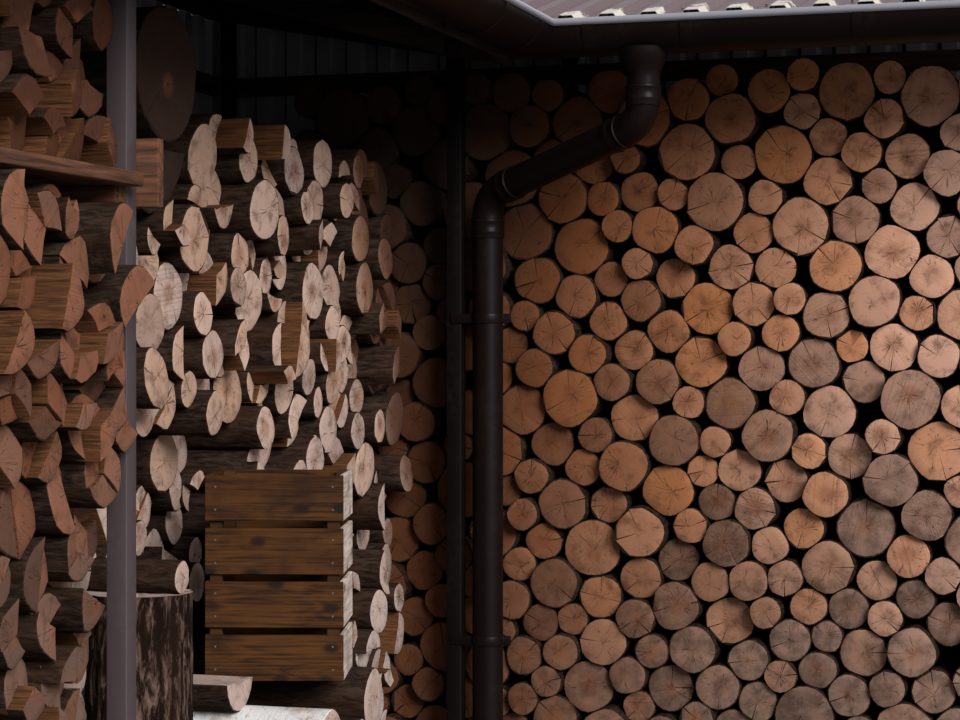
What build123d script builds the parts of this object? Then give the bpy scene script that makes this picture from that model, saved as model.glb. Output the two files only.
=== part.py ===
from build123d import *
import math
import os
import random

import numpy as np

# An L-shaped open-fronted log store round the inner corner of a yard, filled with firewood.
# Millimetres. The origin is the foot of the inner corner post, +X runs along the right wing's
# eave, +Y goes in to its back wall, and the left wing runs from the corner along -Y.
# The left wing is the right wing mirrored in the upright valley plane x + y = 0.

# Ground plan
bay = 1950
rack_bay = 1100
depth = 1150
left_length = bay + rack_bay

# Posts of square steel tube welded to foot plates
post_side = 40
post_wall = 3
foot_side = 120
foot_thick = 8

# Roof
roof_pitch = 15
back_overhang = 150
verge = 100
rafter_width = 45
rafter_depth = 60
purlin_width = 50
purlin_depth = 40
purlin_rows = 4
purlin_setback = 70
fascia_thick = 20
fascia_height = 88
sheet_thick = 1.5
rib_pitch = 105
rib_crest = 34
rib_web = 13
rib_height = 18
valley_gap = 45
flashing_width = 170

# Half-round gutters
gutter_d = 150
gutter_wall = 2
bead_d = 18
gutter_reach = 371
rim_height = 2066
sheet_lap = 50
sheet_lift = 13
lap_gap = 0.4
gutter_standoff = 4
corner_leg = 450
outlet_length = 240
union_width = 30
union_thick = 2.5
bracket_width = 26
bracket_thick = 3
bracket_pitch = 600
first_bracket = 745
outlet_bracket = 406
joint_gap = 0.4

# Rainwater pipe from the outlet round to the corner post
pipe_d = 80
pipe_wall = 2
socket_thick = 2.5
socket_length = 50
pipe_clearance = 0.3
funnel_top_d = 122
funnel_height = 72
neck_top_height = 1826
neck_foot_height = 1680
elbow_radius = 75
gore_count = 3
elbow_leg = 52
pipe_from_post = 87
pipe_foot_height = 40
clamp_foot = 520
clamp_drop = 207
clamp_width = 25
clamp_thick = 3

# Walls
wall_rail_width = 60
wall_rail_thick = 30
wall_rail_heights = (120, 1150, 2140)
wall_foot = 40
wall_clearance = 8
wall_verge = 20
end_rail_heights = (150, 560, 970, 1380, 1790)
end_rail_width = 95
end_rail_thick = 22

# Shelf across the rack bay
shelf_top = 1583
shelf_thick = 25
shelf_board = 125
shelf_gap = 15
shelf_front = 55
shelf_bearer_depth = 60
shelf_bearer_width = 45
end_board_height = 124
end_board_drop = 59
end_board_reach = 62

# Firewood
seat_gap = 0.6
bearer_height = 80
bearer_width = 90
bearer_rows = (420, 930)
log_back = 1110
back_face = 90
left_face = 200
rack_face = 12
rack_lean = 75
rack_lean_foot = 1000
rack_lean_top = 1250
back_stack_left = -500
left_stack_start = -60
stack_top = 2015
left_stack_top = 1790
shelf_stack_top = 2030
stake_side = 50
big_round_d = 266
big_round_place = 1460
slab_d = 330
slab_height = 125
slab_foot = 1590
slab_face = 170
back_sizes = (80, 88, 94, 100, 106, 112, 120, 130, 146)
left_sizes = (74, 84, 92, 100, 110, 120, 136)
rack_sizes = (88, 98, 108, 118, 130)
back_spread = (-20, -8, 4, 16)
left_spread = (-40, -24, -10, 4, 18, 36, 62)
rack_spread = (-38, -22, -8, 6, 18, 32)
corner_spacing = 66

# Things kept in the store
crate_width = 290
crate_depth = 250
crate_height = 430
crate_board = 9
crate_slat = 96
crate_rows = 4
crate_stile = 26
crate_headroom = 40
crate_turn = 16
crate_centre = (-30, -1130)
ledge_height = 600
ledge_reach = 350
ledge_span = (930, 1430)
recess_span = (1430, 1720)
recess_height = 1080
recess_depth = 165
block_d = 220
block_height = 790
block_centre = (-160, -1550)
billet_d = 120
billet_ends = (20, 292)
billet_place = 1370
chunk_d = 62
chunk_length = 190

# Worked out from the sizes above
slope = math.tan(math.radians(roof_pitch))
cosine = math.cos(math.radians(roof_pitch))
gutter_axis = gutter_reach - bead_d / 2 - gutter_d / 2 + gutter_wall / 2
gutter_back = gutter_axis - gutter_d / 2
fascia_face = gutter_back - gutter_standoff
sheet_edge = gutter_back + sheet_lap
eave_height = rim_height + sheet_lift
valley_plane = Plane(origin=(0, 0, 0), z_dir=(1, 1, 0))
parts_made = {}


def sheet_height(y):
    """Underside of the right wing's roof sheet at a distance y in from the post line."""
    return eave_height + (y + sheet_edge) * slope


def rafter_top(y):
    return sheet_height(y) - (purlin_depth + sheet_thick + 2 * lap_gap) / cosine


def rafter_foot(y):
    return rafter_top(y) - rafter_depth / cosine


def keep(name, shape):
    """Labels a finished piece and holds it for export."""
    shape.label = name
    parts_made[name] = shape


def together(shapes):
    """Separate solids of one kind as one piece."""
    return Compound(children=list(shapes))


def in_left_wing(shape):
    """The same piece in the left wing, mirrored in the valley."""
    return mirror(shape, about=valley_plane)


# Posts
def post(centre, foot, top):
    """A tube post on its foot plate; top is the plane of the rafter's underside."""
    with BuildPart() as made:
        with BuildSketch(Plane.XY.offset(foot)):
            with Locations(centre):
                Rectangle(foot_side, foot_side)
        extrude(amount=foot_thick)
        with BuildSketch(Plane.XY.offset(foot + foot_thick)):
            with Locations(centre):
                Rectangle(post_side, post_side)
                Rectangle(post_side - 2 * post_wall, post_side - 2 * post_wall, mode=Mode.SUBTRACT)
        extrude(amount=eave_height + depth)
        split(bisect_by=top, keep=Keep.BOTTOM)
    return made.part


def rafter_plane(turn=False):
    """The underside of the rafters, as a plane that faces up, or that of the valley rafter."""
    lean = (slope / 2, -slope / 2, 1) if turn else (0, -slope, 1)
    return Plane(origin=(0, 0, rafter_foot(0)), z_dir=lean)


def posts(*places):
    """Posts at places along a wing and in from its eave."""
    return [post(place, 0, rafter_plane()) for place in places]


keep("corner_post", post((0, 0), 0, rafter_plane(turn=1)))
keep("right_post", posts((bay, 0))[0])
keep("left_posts", together(in_left_wing(made) for made in posts((bay, 0), (left_length, 0))))
keep("right_back_posts", together(posts((0, depth), (bay, depth))))
left_back_places = ((0, depth), (bay, depth), (left_length, depth))
keep("left_back_posts", together(in_left_wing(made) for made in posts(*left_back_places)))
keep("outer_corner_post", post((-depth, depth), 0, rafter_plane(turn=1)))


# Rafters
def rafter(x, start, stop):
    """A timber rafter with plumb ends, from start to stop in from the post line."""
    with BuildPart() as made:
        with BuildSketch(Plane.YZ.offset(x)):
            with BuildLine():
                Polyline(
                    (start, rafter_foot(start)),
                    (stop, rafter_foot(stop)),
                    (stop, rafter_top(stop)),
                    (start, rafter_top(start)),
                    close=True,
                )
            make_face()
        extrude(amount=rafter_width / 2, both=True)
    return made.part


rafter_start = -(fascia_face - fascia_thick)
rafter_stop = depth + back_overhang - 20
jack_plane = Plane(origin=(rafter_width / 2 + seat_gap, rafter_width / 2, 0), z_dir=(1, 1, 0))


def jack_rafter():
    """The rafter at x = 0, cut against the side of the valley rafter."""
    with BuildPart() as made:
        add(rafter(0, rafter_start, rafter_stop))
        split(bisect_by=jack_plane, keep=Keep.TOP)
    return made.part


common = [rafter(along, rafter_start, rafter_stop) for along in (bay, left_length)]
keep("right_rafters", together([jack_rafter(), common[0]]))
keep("left_rafters", together(in_left_wing(made) for made in [jack_rafter()] + common))

with BuildPart() as valley_rafter:
    with BuildSketch(Plane(origin=(0, 0, 0), x_dir=(-1, 1, 0), z_dir=(1, 1, 0))):
        root2 = math.sqrt(2)
        with BuildLine():
            Polyline(
                (rafter_start * root2, rafter_foot(rafter_start)),
                (rafter_stop * root2, rafter_foot(rafter_stop)),
                (rafter_stop * root2, rafter_top(rafter_stop)),
                (rafter_start * root2, rafter_top(rafter_start)),
                close=True,
            )
        make_face()
    extrude(amount=rafter_width / 2, both=True)
keep("valley_rafter", valley_rafter.part)


# Purlins, mitred over the valley rafter
roof_plane = Plane(origin=(0, 0, eave_height + sheet_edge * slope), x_dir=(1, 0, 0), z_dir=(0, -slope, 1))
mitre_plane = Plane(origin=(seat_gap / 2, seat_gap / 2, 0), z_dir=(1, 1, 0))


def purlins(length):
    first = -(fascia_face - fascia_thick) + purlin_setback
    last = depth + back_overhang - purlin_setback
    step = (last - first) / (purlin_rows - 1)
    start, stop = -depth - back_overhang, length + verge - 20
    with BuildPart() as made:
        with BuildSketch(roof_plane.offset(-sheet_thick - 2 * lap_gap)):
            for row in range(purlin_rows):
                with Locations(((start + stop) / 2, (first + row * step) / cosine)):
                    Rectangle(stop - start, purlin_width)
        extrude(amount=-purlin_depth)
        split(bisect_by=mitre_plane, keep=Keep.TOP)
    return made.part


keep("right_purlins", purlins(bay))
keep("left_purlins", in_left_wing(purlins(left_length)))


# Fascia boards that carry the gutter brackets
def fascia(length):
    top = sheet_height(-fascia_face) - 3
    with BuildPart() as made:
        with BuildSketch(Plane.YZ.offset(-fascia_face)):
            with Locations((-fascia_face + fascia_thick / 2, top - fascia_height / 2)):
                Rectangle(fascia_thick, fascia_height)
        extrude(amount=length + verge + fascia_face)
        split(bisect_by=mitre_plane, keep=Keep.TOP)
    return made.part


keep("right_fascia", fascia(bay))
keep("left_fascia", in_left_wing(fascia(left_length)))


# Trapezoidal steel sheet
def ribbed_profile(start, stop):
    """Closed outline of a ribbed sheet across its ribs, from start to stop."""
    flat = rib_pitch - rib_crest - 2 * rib_web
    under = [(start, 0)]
    for rib in range(math.ceil(start / rib_pitch), math.floor(stop / rib_pitch)):
        left = rib * rib_pitch + flat / 2
        under += [
            (left, 0),
            (left + rib_web, rib_height),
            (left + rib_web + rib_crest, rib_height),
            (left + 2 * rib_web + rib_crest, 0),
        ]
    under.append((stop, 0))
    return under + [(x, z + sheet_thick) for x, z in reversed(under)]


def roof_sheet(length):
    """A wing's roof sheets, cut back from the valley."""
    rise = Plane(
        origin=(0, -sheet_edge, eave_height),
        x_dir=(1, 0, 0),
        z_dir=(0, -cosine, -cosine * slope),
    )
    run = (depth + back_overhang + sheet_edge) / cosine
    cut = Plane(origin=(valley_gap, valley_gap, 0), z_dir=(1, 1, 0))
    with BuildPart() as made:
        with BuildSketch(rise):
            with BuildLine():
                Polyline(*ribbed_profile(-depth - back_overhang, length + verge), close=True)
            make_face()
        extrude(amount=-run)
        split(bisect_by=cut, keep=Keep.TOP)
    return made.part


keep("right_roof_sheet", roof_sheet(bay))
keep("left_roof_sheet", in_left_wing(roof_sheet(left_length)))

# Valley flashing, a wide shallow gutter of folded sheet let in between the purlin tops and the sheets
with BuildPart() as flashing:
    with BuildSketch(roof_plane.offset(-sheet_thick - lap_gap)):
        with BuildLine():
            low, high = -sheet_edge / cosine, (depth + back_overhang) / cosine
            Polyline(
                (sheet_edge, low),
                (sheet_edge + flashing_width, low),
                (flashing_width - depth - back_overhang, high),
                (-depth - back_overhang, high),
                close=True,
            )
        make_face()
    extrude(amount=sheet_thick)
    split(bisect_by=valley_plane, keep=Keep.TOP)
    mirror(about=valley_plane)
keep("valley_flashing", flashing.part)


# Gutters
def gutter_section():
    """Half-round section with a rolled bead at the front, drawn in the YZ plane."""
    with BuildSketch() as section:
        with Locations((-gutter_axis, rim_height)):
            Circle(gutter_d / 2)
            Circle(gutter_d / 2 - gutter_wall, mode=Mode.SUBTRACT)
        with Locations((-gutter_axis, rim_height + gutter_d / 2)):
            Rectangle(gutter_d, gutter_d, mode=Mode.SUBTRACT)
        with Locations((-gutter_reach + bead_d / 2, rim_height)):
            Circle(bead_d / 2)
    return section.sketch


def trough(start, stop):
    """A straight length of gutter."""
    with BuildPart() as made:
        with BuildSketch(Plane.YZ.offset(start)):
            add(gutter_section())
        extrude(amount=stop - start)
    return made.part


def end_cap(x):
    with BuildPart() as made:
        with BuildSketch(Plane.YZ.offset(x)):
            with Locations((-gutter_axis, rim_height)):
                Circle(gutter_d / 2)
            with Locations((-gutter_axis, rim_height + gutter_d / 2)):
                Rectangle(gutter_d, gutter_d, mode=Mode.SUBTRACT)
        extrude(amount=gutter_wall)
    return made.part


def gutter(start, stop):
    with BuildPart() as made:
        add(trough(start, stop))
        add(end_cap(stop))
    return made.part


outlet_x = corner_leg + outlet_length / 2
keep("right_gutter", gutter(corner_leg + outlet_length + joint_gap, bay + verge))
keep("left_gutter", in_left_wing(gutter(corner_leg + joint_gap, left_length + verge)))

with BuildPart() as gutter_corner:
    add(trough(0, corner_leg))
    split(bisect_by=valley_plane, keep=Keep.TOP)
    mirror(about=valley_plane)
keep("gutter_corner", gutter_corner.part)

# Running outlet: a length of gutter with a funnel that narrows to the pipe
funnel_top = rim_height - gutter_d / 2 + 12
spigot_foot = rim_height - gutter_d / 2 - funnel_height - socket_length
with BuildPart() as outlet:
    add(trough(corner_leg + joint_gap, corner_leg + outlet_length))
    with BuildSketch(Plane.XZ.offset(gutter_axis)):
        with BuildLine():
            Polyline(
                (outlet_x, funnel_top),
                (outlet_x + funnel_top_d / 2, funnel_top),
                (outlet_x + pipe_d / 2, funnel_top - funnel_height),
                (outlet_x + pipe_d / 2, spigot_foot),
                (outlet_x, spigot_foot),
                close=True,
            )
        make_face()
    revolve(axis=Axis((outlet_x, -gutter_axis, 0), (0, 0, 1)))
    with Locations((outlet_x, -gutter_axis, 0)):
        with BuildSketch(Plane.XY.offset(spigot_foot)) as bore:
            with Locations((outlet_x, -gutter_axis)):
                Circle(pipe_d / 2 - pipe_wall)
    extrude(bore.sketch, amount=rim_height - spigot_foot - 4, mode=Mode.SUBTRACT)
    with BuildSketch(Plane.YZ.offset(corner_leg + joint_gap)):
        with Locations((-gutter_axis, rim_height)):
            Circle(gutter_d / 2 - gutter_wall)
    extrude(amount=outlet_length - joint_gap, mode=Mode.SUBTRACT)
keep("gutter_outlet", outlet.part)


def strap(x, width, thick):
    """A band round the outside of the trough."""
    inner = gutter_d / 2 + pipe_clearance
    with BuildPart() as made:
        with BuildSketch(Plane.YZ.offset(x - width / 2)):
            with Locations((-gutter_axis, rim_height)):
                Circle(inner + thick)
                Circle(inner, mode=Mode.SUBTRACT)
            with Locations((-gutter_axis, rim_height + gutter_d / 2 - bead_d)):
                Rectangle(gutter_d + 4 * thick, gutter_d, mode=Mode.SUBTRACT)
        extrude(amount=width)
    return made.part


keep(
    "gutter_unions",
    Compound(
        children=[
            strap(corner_leg, union_width, union_thick),
            strap(corner_leg + outlet_length, union_width, union_thick),
            in_left_wing(strap(corner_leg, union_width, union_thick)),
        ]
    ),
)


def bracket(x):
    """A gutter bracket: the band round the trough and the plate on the fascia."""
    plate_height = 70
    back = -gutter_axis + gutter_d / 2 + pipe_clearance
    with BuildPart() as made:
        add(strap(x, bracket_width, bracket_thick))
        with BuildSketch(Plane.YZ.offset(x - bracket_width / 2)):
            with Locations((back, rim_height - bead_d - 5)):
                Rectangle(bracket_thick, plate_height, align=(Align.MIN, Align.CENTER))
        extrude(amount=bracket_width)
    return made.part


right_start = round(corner_leg + outlet_length + outlet_bracket)
right_brackets = [bracket(x) for x in range(right_start, round(bay + verge), bracket_pitch)]
left_brackets = [
    in_left_wing(bracket(x)) for x in range(first_bracket, round(left_length + verge), bracket_pitch)
]
keep("gutter_brackets", together(right_brackets + left_brackets))


# Rainwater pipe pieces, each with a socket at its upper end
def pipe_piece(points):
    """A pipe along a route whose first point is its socket's mouth; a bend is made of mitred gores."""
    with BuildPart() as made:
        with BuildLine() as route:
            Polyline(*points)
        start = Vector(*points[0])
        heading = (Vector(*points[1]) - start).normalized()
        with BuildSketch(Plane(origin=start, z_dir=heading)):
            Circle(pipe_d / 2 + pipe_clearance + socket_thick)
        extrude(amount=socket_length)
        with BuildSketch(Plane(origin=start, z_dir=heading)):
            Circle(pipe_d / 2)
        sweep(path=route.line, transition=Transition.RIGHT)
        with BuildSketch(Plane(origin=start, z_dir=heading)):
            Circle(pipe_d / 2 + pipe_clearance)
        extrude(amount=socket_length - 4, mode=Mode.SUBTRACT)
        with BuildSketch(Plane(origin=start, z_dir=heading)):
            Circle(pipe_d / 2 - pipe_wall)
        sweep(path=route.line, transition=Transition.RIGHT, mode=Mode.SUBTRACT)
    return made.part


def bend(start, corner, stop):
    """Route of an elbow of radius elbow_radius at the corner, as the tangents of gore_count gores."""
    first, second = (corner - start).normalized(), (stop - corner).normalized()
    turn = math.radians(first.get_angle(second))
    inward = (second - first * math.cos(turn)).normalized()
    centre = corner - first * elbow_radius * math.tan(turn / 2) + inward * elbow_radius
    reach = elbow_radius / math.cos(turn / gore_count / 2)
    route = [start]
    for gore in range(gore_count):
        angle = turn * (gore + 0.5) / gore_count
        route.append(centre + (first * math.sin(angle) - inward * math.cos(angle)) * reach)
    return route + [stop]


neck_top = Vector(outlet_x, -gutter_axis, neck_top_height)
neck_foot = Vector(pipe_from_post, 0, neck_foot_height)
neck_way = (neck_foot - neck_top).normalized()
down = Vector(0, 0, -1)
bend_reach = elbow_radius * math.tan(math.radians(down.get_angle(neck_way)) / 2)
seat = socket_length - 5
upper_start = Vector(outlet_x, -gutter_axis, spigot_foot + seat)
upper_end = neck_top + neck_way * (bend_reach + elbow_leg)
neck_start = upper_end - neck_way * seat
lower_start = neck_foot - neck_way * (bend_reach + elbow_leg)
neck_end = lower_start + neck_way * seat
lower_end = neck_foot + down * (bend_reach + elbow_leg)
keep(
    "swan_neck",
    together(
        [
            pipe_piece(bend(upper_start, neck_top, upper_end)),
            pipe_piece([neck_start, neck_end]),
            pipe_piece(bend(lower_start, neck_foot, lower_end)),
        ]
    ),
)
pipe_top = lower_end - down * seat
keep("downpipe", pipe_piece([pipe_top, Vector(pipe_from_post, 0, pipe_foot_height)]))


def pipe_clamp(height):
    """A two-part ring round the downpipe with its stay on the corner post."""
    inner = pipe_d / 2 + pipe_clearance
    gap = 0.3
    with BuildPart() as made:
        with BuildSketch(Plane.XY.offset(height - clamp_width / 2)):
            with Locations((pipe_from_post, 0)):
                Circle(inner + clamp_thick)
            with Locations((pipe_from_post + inner + 8, 0)):
                Rectangle(26, 10)
            with Locations((-8, -post_side / 2 - gap)):
                Rectangle(pipe_from_post, clamp_thick, align=(Align.MIN, Align.MAX))
            with Locations((pipe_from_post, 0)):
                Circle(inner, mode=Mode.SUBTRACT)
        extrude(amount=clamp_width)
    return made.part


clamp_top = pipe_top.Z - socket_length - clamp_drop
keep("pipe_clamps", together([pipe_clamp(clamp_foot), pipe_clamp(clamp_top)]))


# Walls of ribbed sheet on timber rails behind the back posts
def wall_rails(start, stop):
    face = depth + post_side / 2
    with BuildPart() as made:
        for height in wall_rail_heights:
            with BuildSketch(Plane.XZ.offset(-face)):
                with Locations(((start + stop) / 2, height)):
                    Rectangle(stop - start, wall_rail_width)
            extrude(amount=-wall_rail_thick)
    return made.part


wall_face = depth + post_side / 2 + wall_rail_thick


def wall_sheet(start, stop):
    with BuildPart() as made:
        with BuildSketch(Plane.XY.offset(wall_foot)):
            with BuildLine():
                Polyline(*[(x, y + wall_face) for x, y in ribbed_profile(start, stop)], close=True)
            make_face()
        extrude(amount=rafter_foot(wall_face) - wall_clearance - wall_foot)
    return made.part


wall_corner = -(depth + post_side / 2)
keep("right_wall_rails", wall_rails(wall_corner, bay + post_side / 2))
keep("left_wall_rails", in_left_wing(wall_rails(wall_corner + post_side, left_length + post_side / 2)))
sheet_corner = -(wall_face + rib_height + sheet_thick)
keep("right_wall_sheet", wall_sheet(sheet_corner, bay + post_side / 2 + wall_verge))
left_wall = wall_sheet(lap_gap - wall_face, left_length + post_side / 2 + wall_verge)
keep("left_wall_sheet", in_left_wing(left_wall))


# Rails across the open ends that hold the stacks in
def end_rails(along):
    with BuildPart() as made:
        for height in end_rail_heights:
            with BuildSketch(Plane.YZ.offset(along + post_side / 2)):
                with Locations((depth / 2, height)):
                    Rectangle(depth + post_side, end_rail_width)
            extrude(amount=end_rail_thick)
    return made.part


keep("right_end_rails", end_rails(bay))
keep("left_end_rails", in_left_wing(end_rails(left_length)))


# Shelf across the rack bay
def shelf_boards():
    """Boards along the rack bay between its two post lines."""
    start, stop = bay - post_side / 2 + seat_gap, left_length + post_side / 2
    count = int((depth - post_side + shelf_front) // (shelf_board + shelf_gap))
    with BuildPart() as made:
        for row in range(count):
            front = -shelf_front + row * (shelf_board + shelf_gap)
            beside_post = front < post_side
            begin = bay + post_side / 2 + seat_gap if beside_post else start
            end = left_length - post_side / 2 - seat_gap if beside_post else stop
            with BuildSketch(Plane.XY.offset(shelf_top - shelf_thick)):
                with Locations((begin, front)):
                    Rectangle(end - begin, shelf_board, align=(Align.MIN, Align.MIN))
            extrude(amount=shelf_thick)
    return made.part


def shelf_bearers():
    """Two bearers under the shelf, from front post to back post."""
    with BuildPart() as made:
        for edge, side in ((bay + post_side / 2, Align.MIN), (left_length - post_side / 2, Align.MAX)):
            with BuildSketch(Plane.XY.offset(shelf_top - shelf_thick - shelf_bearer_depth)):
                with Locations((edge, -post_side / 2)):
                    Rectangle(shelf_bearer_width, depth + post_side, align=(side, Align.MIN))
            extrude(amount=shelf_bearer_depth)
    return made.part


def shelf_end_board():
    """A board on edge across the far side of the left post line."""
    with BuildPart() as made:
        with BuildSketch(Plane.YZ.offset(bay - post_side / 2 - shelf_thick)):
            with Locations((-end_board_reach, shelf_top - end_board_drop)):
                Rectangle(
                    depth + post_side / 2 + end_board_reach,
                    end_board_height,
                    align=(Align.MIN, Align.MIN),
                )
        extrude(amount=shelf_thick - seat_gap)
    return made.part


keep("shelf_boards", in_left_wing(shelf_boards()))
keep("shelf_bearers", in_left_wing(shelf_bearers()))
keep("shelf_end_board", in_left_wing(shelf_end_board()))


# Firewood stacks
def lay_logs(width, top, sizes, seed):
    """Lays round logs one by one, each in the lowest cradle between two others, a wall or the floor.

    Returns (across, up, radius) for each, in a face width wide whose floor is at 0.
    """
    chance = random.Random(seed)
    laid = []
    still_fit = list(sizes)
    while still_fit:
        size = chance.choice(still_fit)
        place = lowest_cradle(laid, size / 2, width)
        if place is None or place[1] + size / 2 > top:
            still_fit.remove(size)
        else:
            laid.append((*place, size / 2))
    return laid


def lowest_cradle(laid, radius, width):
    """The lowest place where a log of this radius lies still, or None."""
    left, right, floor = radius + seat_gap, width - radius - seat_gap, radius + seat_gap
    if not laid:
        return (left, floor)
    u, v, r = np.array(laid).T
    reach = r + radius + seat_gap
    spots = []
    on_floor = reach**2 - (v - floor) ** 2
    shift = np.sqrt(np.maximum(on_floor, 0))
    spots += [(a, floor) for a in (u + shift)[on_floor > 0]]
    spots += [(a, floor) for a in (u - shift)[on_floor > 0]]
    for wall in (left, right):
        rest = reach**2 - (u - wall) ** 2
        spots += [(wall, b) for b in (v + np.sqrt(np.maximum(rest, 0)))[rest > 0]]
    i, j = np.nonzero(u[:, None] < u)
    du, dv = u[j] - u[i], v[j] - v[i]
    gap = np.hypot(du, dv)
    close = gap < reach[i] + reach[j]
    i, j, du, dv, gap = i[close], j[close], du[close], dv[close], gap[close]
    along = (reach[i] ** 2 - reach[j] ** 2 + gap**2) / (2 * gap)
    lift = np.sqrt(np.maximum(reach[i] ** 2 - along**2, 0))
    a = u[i] + (along * du - lift * dv) / gap
    b = v[i] + (along * dv + lift * du) / gap
    stable = (a > u[i]) & (a < u[j])
    spots += list(zip(a[stable], b[stable]))
    spots = np.array(spots)
    inside = (spots[:, 0] >= left - 1e-6) & (spots[:, 0] <= right + 1e-6) & (spots[:, 1] >= floor - 1e-6)
    spots = spots[inside]
    apart = np.hypot(spots[:, :1] - u, spots[:, 1:] - v) >= reach - 1e-6
    spots = spots[apart.all(axis=1)]
    if not len(spots):
        return None
    return tuple(float(way) for way in spots[np.argmin(spots[:, 1])])


def clip(outline, px, py, nx, ny):
    """The part of a convex outline on the side of a line that its normal (nx, ny) points away from."""
    kept = []
    for (ax, ay), (bx, by) in zip(outline, outline[1:] + outline[:1]):
        da = (ax - px) * nx + (ay - py) * ny
        db = (bx - px) * nx + (by - py) * ny
        if da <= 0:
            kept.append((ax, ay))
        if da * db < 0:
            t = da / (da - db)
            kept.append((ax + t * (bx - ax), ay + t * (by - ay)))
    return kept


def log_outline(log, laid):
    """A log's outline: a corner wherever it touches its floor or another log, and others between."""
    u, v, r = log
    bearings = [-math.pi / 2] if v - r < 2 * seat_gap else []
    for nu, nv, nr in laid:
        if 0 < math.dist((u, v), (nu, nv)) < r + nr + 2 * seat_gap:
            bearings.append(math.atan2(nv - v, nu - u))
    bearings.sort()
    corners = []
    for low, high in zip(bearings, bearings[1:] + [bearings[0] + math.tau]):
        steps = max(1, round((high - low) / math.radians(corner_spacing)))
        corners += [low + (high - low) * step / steps for step in range(steps)]
    return [(u + r * math.cos(angle), v + r * math.sin(angle)) for angle in corners]


def cleft(outline, log, pieces, chance):
    """A log's outline split from its heart into two or three."""
    u, v, _ = log
    start = chance.uniform(0, math.tau)
    split = []
    for piece in range(pieces):
        low, high = (start + math.tau * side / pieces for side in (piece, piece + 1))
        gap = seat_gap / 2
        wedge = clip(outline, u - gap * math.sin(low), v + gap * math.cos(low), math.sin(low), -math.cos(low))
        far = (u + gap * math.sin(high), v - gap * math.cos(high))
        split.append(clip(wedge, *far, -math.sin(high), math.cos(high)))
    return split


def log_solid(outline, front, back):
    """One piece of firewood, from y = front in to y = back, with this outline on its ends."""
    with BuildPart() as made:
        with BuildSketch(Plane.XZ.offset(-front)):
            with BuildLine():
                Polyline(*outline, close=True)
            make_face()
        extrude(amount=front - back)
    return made.part


def stack(laid, start, foot, face, spread, seed, reach_of=None, splits=(1,), others=()):
    """The solids of a stack whose logs are laid, others being what else they touch.

    reach_of says how far a log stands out of the face, and splits holds the numbers of pieces that
    logs are cleft into, of which each log gets one by chance.
    """
    chance = random.Random(seed)
    solids = []
    for log in laid:
        outline = log_outline(log, laid + list(others))
        pieces = chance.choice(splits)
        for piece in [outline] if pieces == 1 else cleft(outline, log, pieces, chance):
            front = face - chance.choice(spread) - (reach_of(log) if reach_of else 0)
            placed = [(start + u, foot + v) for u, v in piece]
            solids.append(log_solid(placed, front, log_back))
    return solids


def bearers(start, stop):
    """Two timbers on the ground under a stack."""
    with BuildPart() as made:
        for row in bearer_rows:
            with BuildSketch():
                with Locations(((start + stop) / 2, row)):
                    Rectangle(stop - start, bearer_width)
            extrude(amount=bearer_height)
    return made.part


# The right wing's stack runs on behind the corner post to two stakes
back_width = bay - post_side / 2 - back_stack_left
back_laid = lay_logs(back_width, stack_top - bearer_height, back_sizes, seed=11)
back_logs = stack(back_laid, back_stack_left, bearer_height, back_face, back_spread, seed=5)
keep("back_stack", together(back_logs))
keep("back_bearers", bearers(back_stack_left, bay - post_side / 2))
with BuildPart() as stakes:
    with BuildSketch():
        with Locations((back_stack_left - stake_side / 2, 0)):
            with Locations(*[(0, row) for row in bearer_rows]):
                Rectangle(stake_side, stake_side)
    extrude(amount=stack_top)
keep("stack_stakes", stakes.part)


# The left wing's stack, with a slab and a big round on it, logs left standing out as a ledge, and a recess
def meets(span, along, r):
    return span[0] < along + r and along - r < span[1]


def left_reach(log):
    """How far a log of the left stack stands out of its face."""
    u, v, r = log
    along, low, high = left_stack_start + u, bearer_height + v - r, bearer_height + v + r
    if high < ledge_height and ledge_span[0] < along - r and along + r < ledge_span[1]:
        return ledge_reach
    if meets(ledge_span, along, r) and low < ledge_height + crate_height + crate_headroom:
        return -recess_depth
    if meets(recess_span, along, r) and low < recess_height:
        return -recess_depth
    return 0


left_width = bay - post_side / 2 - shelf_thick - left_stack_start
slab_u = big_round_place - left_stack_start
slab_r = slab_d / 2
left_laid = [
    (u, v, r)
    for u, v, r in lay_logs(left_width, left_stack_top - bearer_height, left_sizes, seed=3)
    if abs(u - slab_u) > r + slab_r or v + r < slab_foot - bearer_height
]


def rest_on(laid, u, r):
    """The height at which a round dropped at u comes to rest on the laid logs."""
    heights = []
    for nu, nv, nr in laid:
        reach = r + nr + seat_gap
        if abs(u - nu) < reach:
            heights.append(nv + math.sqrt(reach**2 - (u - nu) ** 2))
    return max(heights)


slab_v = rest_on(left_laid, slab_u, slab_r)
slab_top = slab_v - slab_r + slab_height
ledge_logs = [log for log in left_laid if left_reach(log) == ledge_reach]
ledge_top = max(v + r for u, v, r in ledge_logs)
crate_rest = next((u, v + 2 * r, r) for u, v, r in ledge_logs if v + r == ledge_top)
billet_r = billet_d / 2
billet_u = billet_place - left_stack_start
billet_v = rest_on(ledge_logs, billet_u, billet_r)
left_logs = stack(
    left_laid,
    left_stack_start,
    bearer_height,
    left_face,
    left_spread,
    seed=8,
    reach_of=left_reach,
    splits=(1, 1, 1, 1, 1, 2, 2, 3),
    others=((slab_u, slab_v, slab_r), (billet_u, billet_v, billet_r), crate_rest),
)
keep("left_stack", together(in_left_wing(log) for log in left_logs))


def big_round(v, d, front):
    """A thick round over the slab's place, its centre v above the bearers."""
    with BuildPart() as made:
        with BuildSketch(Plane.XZ.offset(-front)):
            with Locations((big_round_place, bearer_height + v)):
                Circle(d / 2)
        extrude(amount=front - log_back)
    return made.part


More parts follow.
